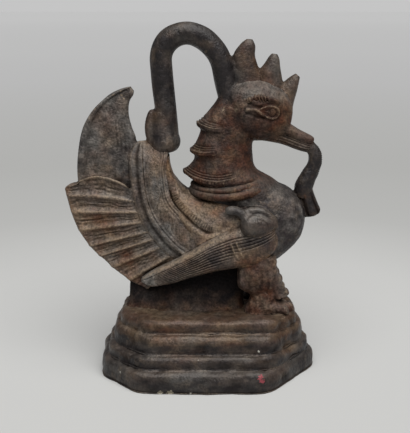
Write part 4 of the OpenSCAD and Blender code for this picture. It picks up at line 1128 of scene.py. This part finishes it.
cast("sprig", rings(tube(sprig_path, 80), oval(44, 0.95)), handled, sprig_relief, dark=1.1, grey=0.25)
cast("blossom", rings(tube(blossom_path, 50), oval(52, 0.95)), handled, blossom_relief, dark=0.85, grey=0.25)

# %% [markdown]
# ## Wings
#
# Each wing is a long leaf laid on the flank, with a smooth ridge along its upper edge, long knife cuts
# for the flight feathers and two threads laid across them. At the shoulder a roll curls over a boss. The
# cuts follow the leaf, so they are pressed by how far a point lies across it.

# %% Wing leaves
LEAF = [[27.5, 20.2, 29, 14.6, 0.7], [24.2, 21, 27.2, 8.6, 0.9], [17, 20, 19.8, 2.8, 1],
        [12.5, 19, 14.9, 1.75, 1], [8, 17.6, 9.8, 1.2, 0.99], [0.8, 13.8, 1.2, -0.6, 0.96],
        [-7, 8.4, -7.4, -3.4, 0.88], [-15.4, 3.4, -14.8, -6.2, 0.79], [-22.4, -0.6, -20.6, -7.7, 0.71],
        [-26, -3, -24.4, -7.9, 0.65], [-27.6, -4.3, -26.6, -7.2, 0.6], [-28.2, -5.3, -27.9, -6.3, 0.54]]
WING_PROUD = 3.2
WING_OUT = BODY_HALF + WING_PROUD
WING_THICK = 8.0
BACK_POINTS, FACE_POINTS = 12, 92
FEATHER_CUTS = 10
THREADS = [[(8.6, 13.6), (10, 10), (12, 6)], [(10.6, 14.4), (12, 11), (13.8, 7)]]


def wing_rings():
    s = curve(LEAF, 165)
    q = np.concatenate([np.linspace(0.08, 0.92, BACK_POINTS), np.linspace(1, 0, FACE_POINTS)])
    outer = np.arange(len(q)) >= BACK_POINTS
    dome = np.sqrt(np.maximum(0, 1 - np.abs(2 * q - 1) ** 4))
    y1 = WING_OUT * s[:, 4:]
    y = np.where(outer, y1 - 0.55 * WING_THICK * (1 - dome), y1 - WING_THICK)
    x = s[:, :1] + (s[:, 2:3] - s[:, :1]) * np.where(outer, q, 1 - q)
    z = s[:, 1:2] + (s[:, 3:4] - s[:, 1:2]) * np.where(outer, q, 1 - q)
    return np.stack([x, -y, z], -1)


def across_leaf(v):
    """How far below its upper edge a point of the leaf lies, 0 to 1, and 1 where it is on the outer face."""
    k = v * (BACK_POINTS + FACE_POINTS) - BACK_POINTS
    return 1 - k / (FACE_POINTS - 1), between(k, 1, FACE_POINTS - 2, 0.5)


def wing_relief(p, u, v):
    q, face = across_leaf(v)
    loose = q + 0.012 * uneven(p * 1.4)
    ribs = np.cos(2 * np.pi * FEATHER_CUTS * (loose - 0.2) / 0.8)
    # Towards the breast the lowest feathers run out in the thigh
    lowest = 0.97 - 0.42 * between(u, -1, 0.42, 0.05)
    cuts = (-0.42 - 0.1 * uneven(p * 2)) * (0.5 + 0.5 * ribs) ** 3
    cuts = cuts * between(q, 0.23, lowest, 0.02) * between(u, 0.055, 0.745, 0.02)
    ridge = 0.45 * bump(q - 0.1, 0.07) * between(u, 0.36, 0.97, 0.04) - 0.35 * bump(q - 0.215, 0.018)
    tip = (0.2 + 0.3 * uneven(p * 5)) * between(u, 0.745, 0.99, 0.015) * between(q, 0.15, 0.95, 0.05)
    threads = sum(0.6 * bump(along(p, line)[0], 0.45) * between(q, 0.28, 0.75, 0.02) for line in THREADS)
    return (cuts * (1 - np.minimum(1, 1.5 * threads)) + ridge + tip + 0.7 * threads) * face


def wing_shade(p, u, v):
    """The feathers are dark, the ridge above them and the tip are rubbed, and the thigh is brown."""
    q, _ = across_leaf(v)
    tip = between(u, 0.735, 9, 0.03)
    thigh = between(q, 0.6, 9, 0.08) * between(u, -1, 0.45, 0.05)
    blacker = 0.9 * between(q, 0.25, 9, 0.04) * (1 - tip) - 0.45 - 0.3 * tip - 0.5 * thigh
    return blacker, 0.5 * tip - 0.3 * thigh


cast_pair("wing", [wing_rings()], rubbed, wing_relief, dark=0.35, grey=0.45, shade=wing_shade)

# %% Shoulder scrolls
SCROLL_LINE = [(13, 23.4, 1.5), (16.4, 25.6, 1.6), (21.4, 25.3, 1.6), (25.6, 22.4, 1.5), (27, 18.6, 1.2)]
TONGUE_LINE = [(6.4, 25.8, 1.2), (8, 26, 2.0), (10.6, 26, 2.1), (14, 24.2, 2.0), (15.5, 22.6, 1.2)]
CURLS = [[(14.2, 22.4), (16.4, 24.4), (19.6, 25.3), (22.4, 24.7), (25, 22.4)],
         [(19.4, 23), (21.4, 22.8), (23.2, 21.4), (24.2, 19.4)]]
# How far the three lumps lie inside the wing's face
ROLL_IN, TONGUE_IN, BOSS_IN = 2.9, 1.9, 2.0
BOSS_HALF = 4.4
BOSS_STATIONS = [[12.4, 21, 12.6, 19.6, 0.2], [13.2, 23.6, 13.8, 16.4, 0.72], [15.8, 24.8, 15.8, 15.2, 1],
                 [19, 24.6, 19.4, 15.4, 0.86], [23.4, 23.4, 23.4, 16.6, 0.52], [26.4, 21, 26.4, 19.2, 0.16]]


def scroll_relief(p, u, v):
    lines = [along(p, line) for line in CURLS]
    return sum(-0.3 * bump(d, 0.45) * between(run, 1, length - 1, 0.5) for d, run, length in lines)


scroll_roll = rings(tube(SCROLL_LINE, 40), oval(26, 1)) - [0, WING_OUT - ROLL_IN, 0]
tongue = rings(tube(TONGUE_LINE, 34), oval(26, 1)) - [0, WING_OUT - TONGUE_IN, 0]
boss = rings(curve(sized(BOSS_STATIONS, kw=BOSS_HALF), 40), oval(50, 0.95))
boss = boss - [0, WING_OUT - BOSS_IN, 0]
scroll = [scroll_roll, tongue, boss]
cast_pair("scroll", scroll, handled, scroll_relief, voxel=0.45, smooth=5, dark=0.4, grey=1.1)

# %% [markdown]
# ## Smoothing the seams and pressing the detail
#
# Before the mould is made, the founder goes over the joints with a warm finger. Here all pieces are fused
# into one passing skin, and every point close to another piece is drawn onto it, so the joints get small
# fillets while each piece stays a mesh of its own. The grey and black of neighbours also run into each
# other there. Last, each piece's detail is pressed in along its new normals.

# %% Smooth and press
SEAM_DEPTH = 0.5
BLEND_REACH = 5.0
SEAM_VOXEL = 0.45
SKIN_REACH = 1.5
# Points inside a neighbour stay this far below the passing skin
UNDERCUT = 0.1
CLOUDS = 0.18


def tree_of(mesh):
    return BVHTree.FromPolygons(vectors(mesh, "co").tolist(), [tuple(f.vertices) for f in mesh.polygons])


def fused_tree(voxel, smooth):
    """Search tree of one smooth skin over all pieces."""
    joined = bmesh.new()
    for piece in pieces:
        joined.from_mesh(piece["obj"].data)
    mesh = bpy.data.meshes.new("seams")
    joined.to_mesh(mesh)
    joined.free()
    obj = bpy.data.objects.new("seams", mesh)
    bpy.context.scene.collection.objects.link(obj)
    whole = remeshed(obj, voxel, smooth)
    tree = tree_of(whole)
    bpy.data.objects.remove(obj)
    bpy.data.meshes.remove(whole)
    return tree


def nearest_piece(p, own, trees, boxes):
    """Millimetres from each point to the closest other piece, below zero inside it, and its number."""
    gap, which = np.full(len(p), 99.0), np.full(len(p), own)
    for k, (low, high) in enumerate(boxes):
        if k == own:
            continue
        for i in np.flatnonzero(((p > low) & (p < high)).all(1)):
            at, normal, _, far = trees[k].find_nearest(p[i], BLEND_REACH * MM)
            if at is None:
                continue
            signed = far / MM if (p[i] - at) @ np.array(normal) > 0 else -far / MM
            if signed < gap[i]:
                gap[i], which[i] = signed, k
    return gap, which


skin_tree = fused_tree(SEAM_VOXEL, smooth=8)
trees = [tree_of(piece["obj"].data) for piece in pieces]
spans = [vectors(piece["obj"].data, "co") for piece in pieces]
boxes = [(p.min(0) - BLEND_REACH * MM, p.max(0) + BLEND_REACH * MM) for p in spans]
zones = {zone: np.array([piece[zone] for piece in pieces]) for zone in ("dark", "grey")}
for own, piece in enumerate(pieces):
    mesh, p = piece["obj"].data, spans[own].copy()
    gap, which = nearest_piece(p, own, trees, boxes)
    seam = piece["seam"]
    for i in np.flatnonzero((gap > -SEAM_DEPTH) & (gap < seam)):
        at, normal, _, _ = skin_tree.find_nearest(p[i], SKIN_REACH * MM)
        if at is not None:
            goal = np.array(at) - np.array(normal) * (UNDERCUT * MM if gap[i] < 0 else 0)
            p[i] += (goal - p[i]) * min(1, 2 - 2 * gap[i] / seam)
    place(mesh, p)
    shared = 0.5 * np.clip(1 - gap / BLEND_REACH, 0, 1)
    at_mm = p / MM - [0, 0, LIFT]
    more = piece["shade"](at_mm, piece["u"], piece["v"]) if piece["shade"] else (0, 0)
    for k, (zone, values) in enumerate(zones.items()):
        amount = values[own] * (1 - shared) + values[which] * shared
        keep(mesh, zone, amount + CLOUDS * uneven(at_mm * 0.9 + 50 * k) + more[k])
    depth = np.zeros(len(p))
    if piece["relief"]:
        depth = piece["relief"](at_mm, piece["u"], piece["v"])
    keep(mesh, "relief", depth)
    p += vectors(mesh, "normal") * (depth * MM)[:, None]
    p[:, 2] = np.maximum(p[:, 2], 0)
    place(mesh, p)
    print(piece["obj"].name, "pressed", round(depth.min(), 2), "to", round(depth.max(), 2), "mm")

# %% [markdown]
# ## Floor, light and camera
#
# The weight stands on a pale table under one broad overhead light. The floor is one big disc whose grey
# changes slowly with distance, because a wall close behind would stand in the way of views from the back.
# That grey is painted light falloff: palest round the weight, darker a little way out, paler again far off.
# A sun with a wide angle lights it evenly at any distance, and a weak world fills the shadows.

# %% Floor
FLOOR_RADIUS = 30.0
FADE_REACH = 10.0
bpy.ops.mesh.primitive_circle_add(vertices=96, radius=FLOOR_RADIUS, fill_type="NGON")
floor = bpy.context.object
floor.name = "table"
paper = bpy.data.materials.new("pale_table_card")
paper.use_nodes = True
tree = paper.node_tree
where = node(tree, "ShaderNodeVectorMath", [(0, node(tree, "ShaderNodeTexCoord").outputs["Object"])],
             operation="LENGTH")
faded = node(tree, "ShaderNodeMapRange", [("Value", where.outputs["Value"]), ("From Max", FADE_REACH)])
painted_falloff = node(tree, "ShaderNodeValToRGB", [(0, faded.outputs[0])])
ramp = painted_falloff.color_ramp
# Painted light falloff: pale round the weight, darker a little way out, paler again towards the edge
stops = [(0.0, "#d5d5d2"), (0.014, "#d2d2cf"), (0.028, "#bcbcb9"), (0.048, "#b6b6b3"), (0.14, "#bfbfbe"),
         (0.25, "#c3c3c2"), (1.0, "#cacac9")]
while len(ramp.elements) < len(stops):
    ramp.elements.new(0.5)
for element, (at, grey) in zip(ramp.elements, stops):
    element.position, element.color = at, linear(grey)
seen = node(tree, "ShaderNodeLightPath")
looked_at = node(tree, "ShaderNodeMath",
                 [(0, seen.outputs["Is Camera Ray"]), (1, seen.outputs["Is Glossy Ray"])],
                 operation="MAXIMUM")
bounce = node(tree, "ShaderNodeMix", [("Factor", looked_at.outputs[0]), ("A", linear("#747473")),
                                      ("B", painted_falloff.outputs["Color"])], data_type="RGBA")
tree.links.new(bounce.outputs["Result"], tree.nodes["Principled BSDF"].inputs["Base Color"])
tree.nodes["Principled BSDF"].inputs["Roughness"].default_value = 0.9
tree.nodes["Principled BSDF"].inputs["Specular IOR Level"].default_value = 0.1
floor.data.materials.append(paper)
floor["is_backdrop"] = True

# %% Light
world = bpy.data.worlds.new("soft_room")
bpy.context.scene.world = world
world.use_nodes = True
tree = world.node_tree
path = node(tree, "ShaderNodeLightPath")
fill = node(tree, "ShaderNodeMix", [("Factor", path.outputs["Is Camera Ray"]), ("A", linear("#68686b")),
                                    ("B", linear("#c5c5c5"))], data_type="RGBA")
tree.links.new(fill.outputs["Result"], tree.nodes["Background"].inputs["Color"])


def sun(name, strength, angle, lean, turn):
    """A broad light: lean is degrees away from overhead, turn the side it comes from, 0 in front."""
    lamp = bpy.data.lights.new(name, "SUN")
    lamp.energy = strength
    lamp.angle = math.radians(angle)
    obj = bpy.data.objects.new(name, lamp)
    obj.rotation_euler = (math.radians(lean), 0, math.radians(turn))
    bpy.context.scene.collection.objects.link(obj)


sun("overhead", strength=2.85, angle=70, lean=28, turn=14)

# %% Camera
FOCAL_PIXELS = 809.4
FRAME_HEIGHT = 433
CAMERA_AT = np.array([-1.54, -330.0, 151.57])
CAMERA_DIP = 14.48
camera = bpy.data.objects.new("camera", bpy.data.cameras.new("camera"))
camera.data.sensor_fit = "VERTICAL"
camera.data.sensor_height = 24.0
camera.data.lens = camera.data.sensor_height * FOCAL_PIXELS / FRAME_HEIGHT
camera.location = CAMERA_AT * MM
camera.rotation_euler = (math.radians(90 - CAMERA_DIP), 0, 0)
bpy.context.scene.collection.objects.link(camera)
bpy.context.scene.camera = camera
bpy.context.scene.view_settings.view_transform = "Standard"

# %% [markdown]
# ## Sizes
#
# The boxes of the solids and of the dressed weight are both measured and printed. The dressed weight
# has to keep the size of its solids.

# %% Write both boxes and finish
visual_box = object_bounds()
boxes = {"cad": [list(map(float, c)) for c in cad_box], "visual": [list(map(float, c)) for c in visual_box]}
print("cad", boxes["cad"], "visual", boxes["visual"])
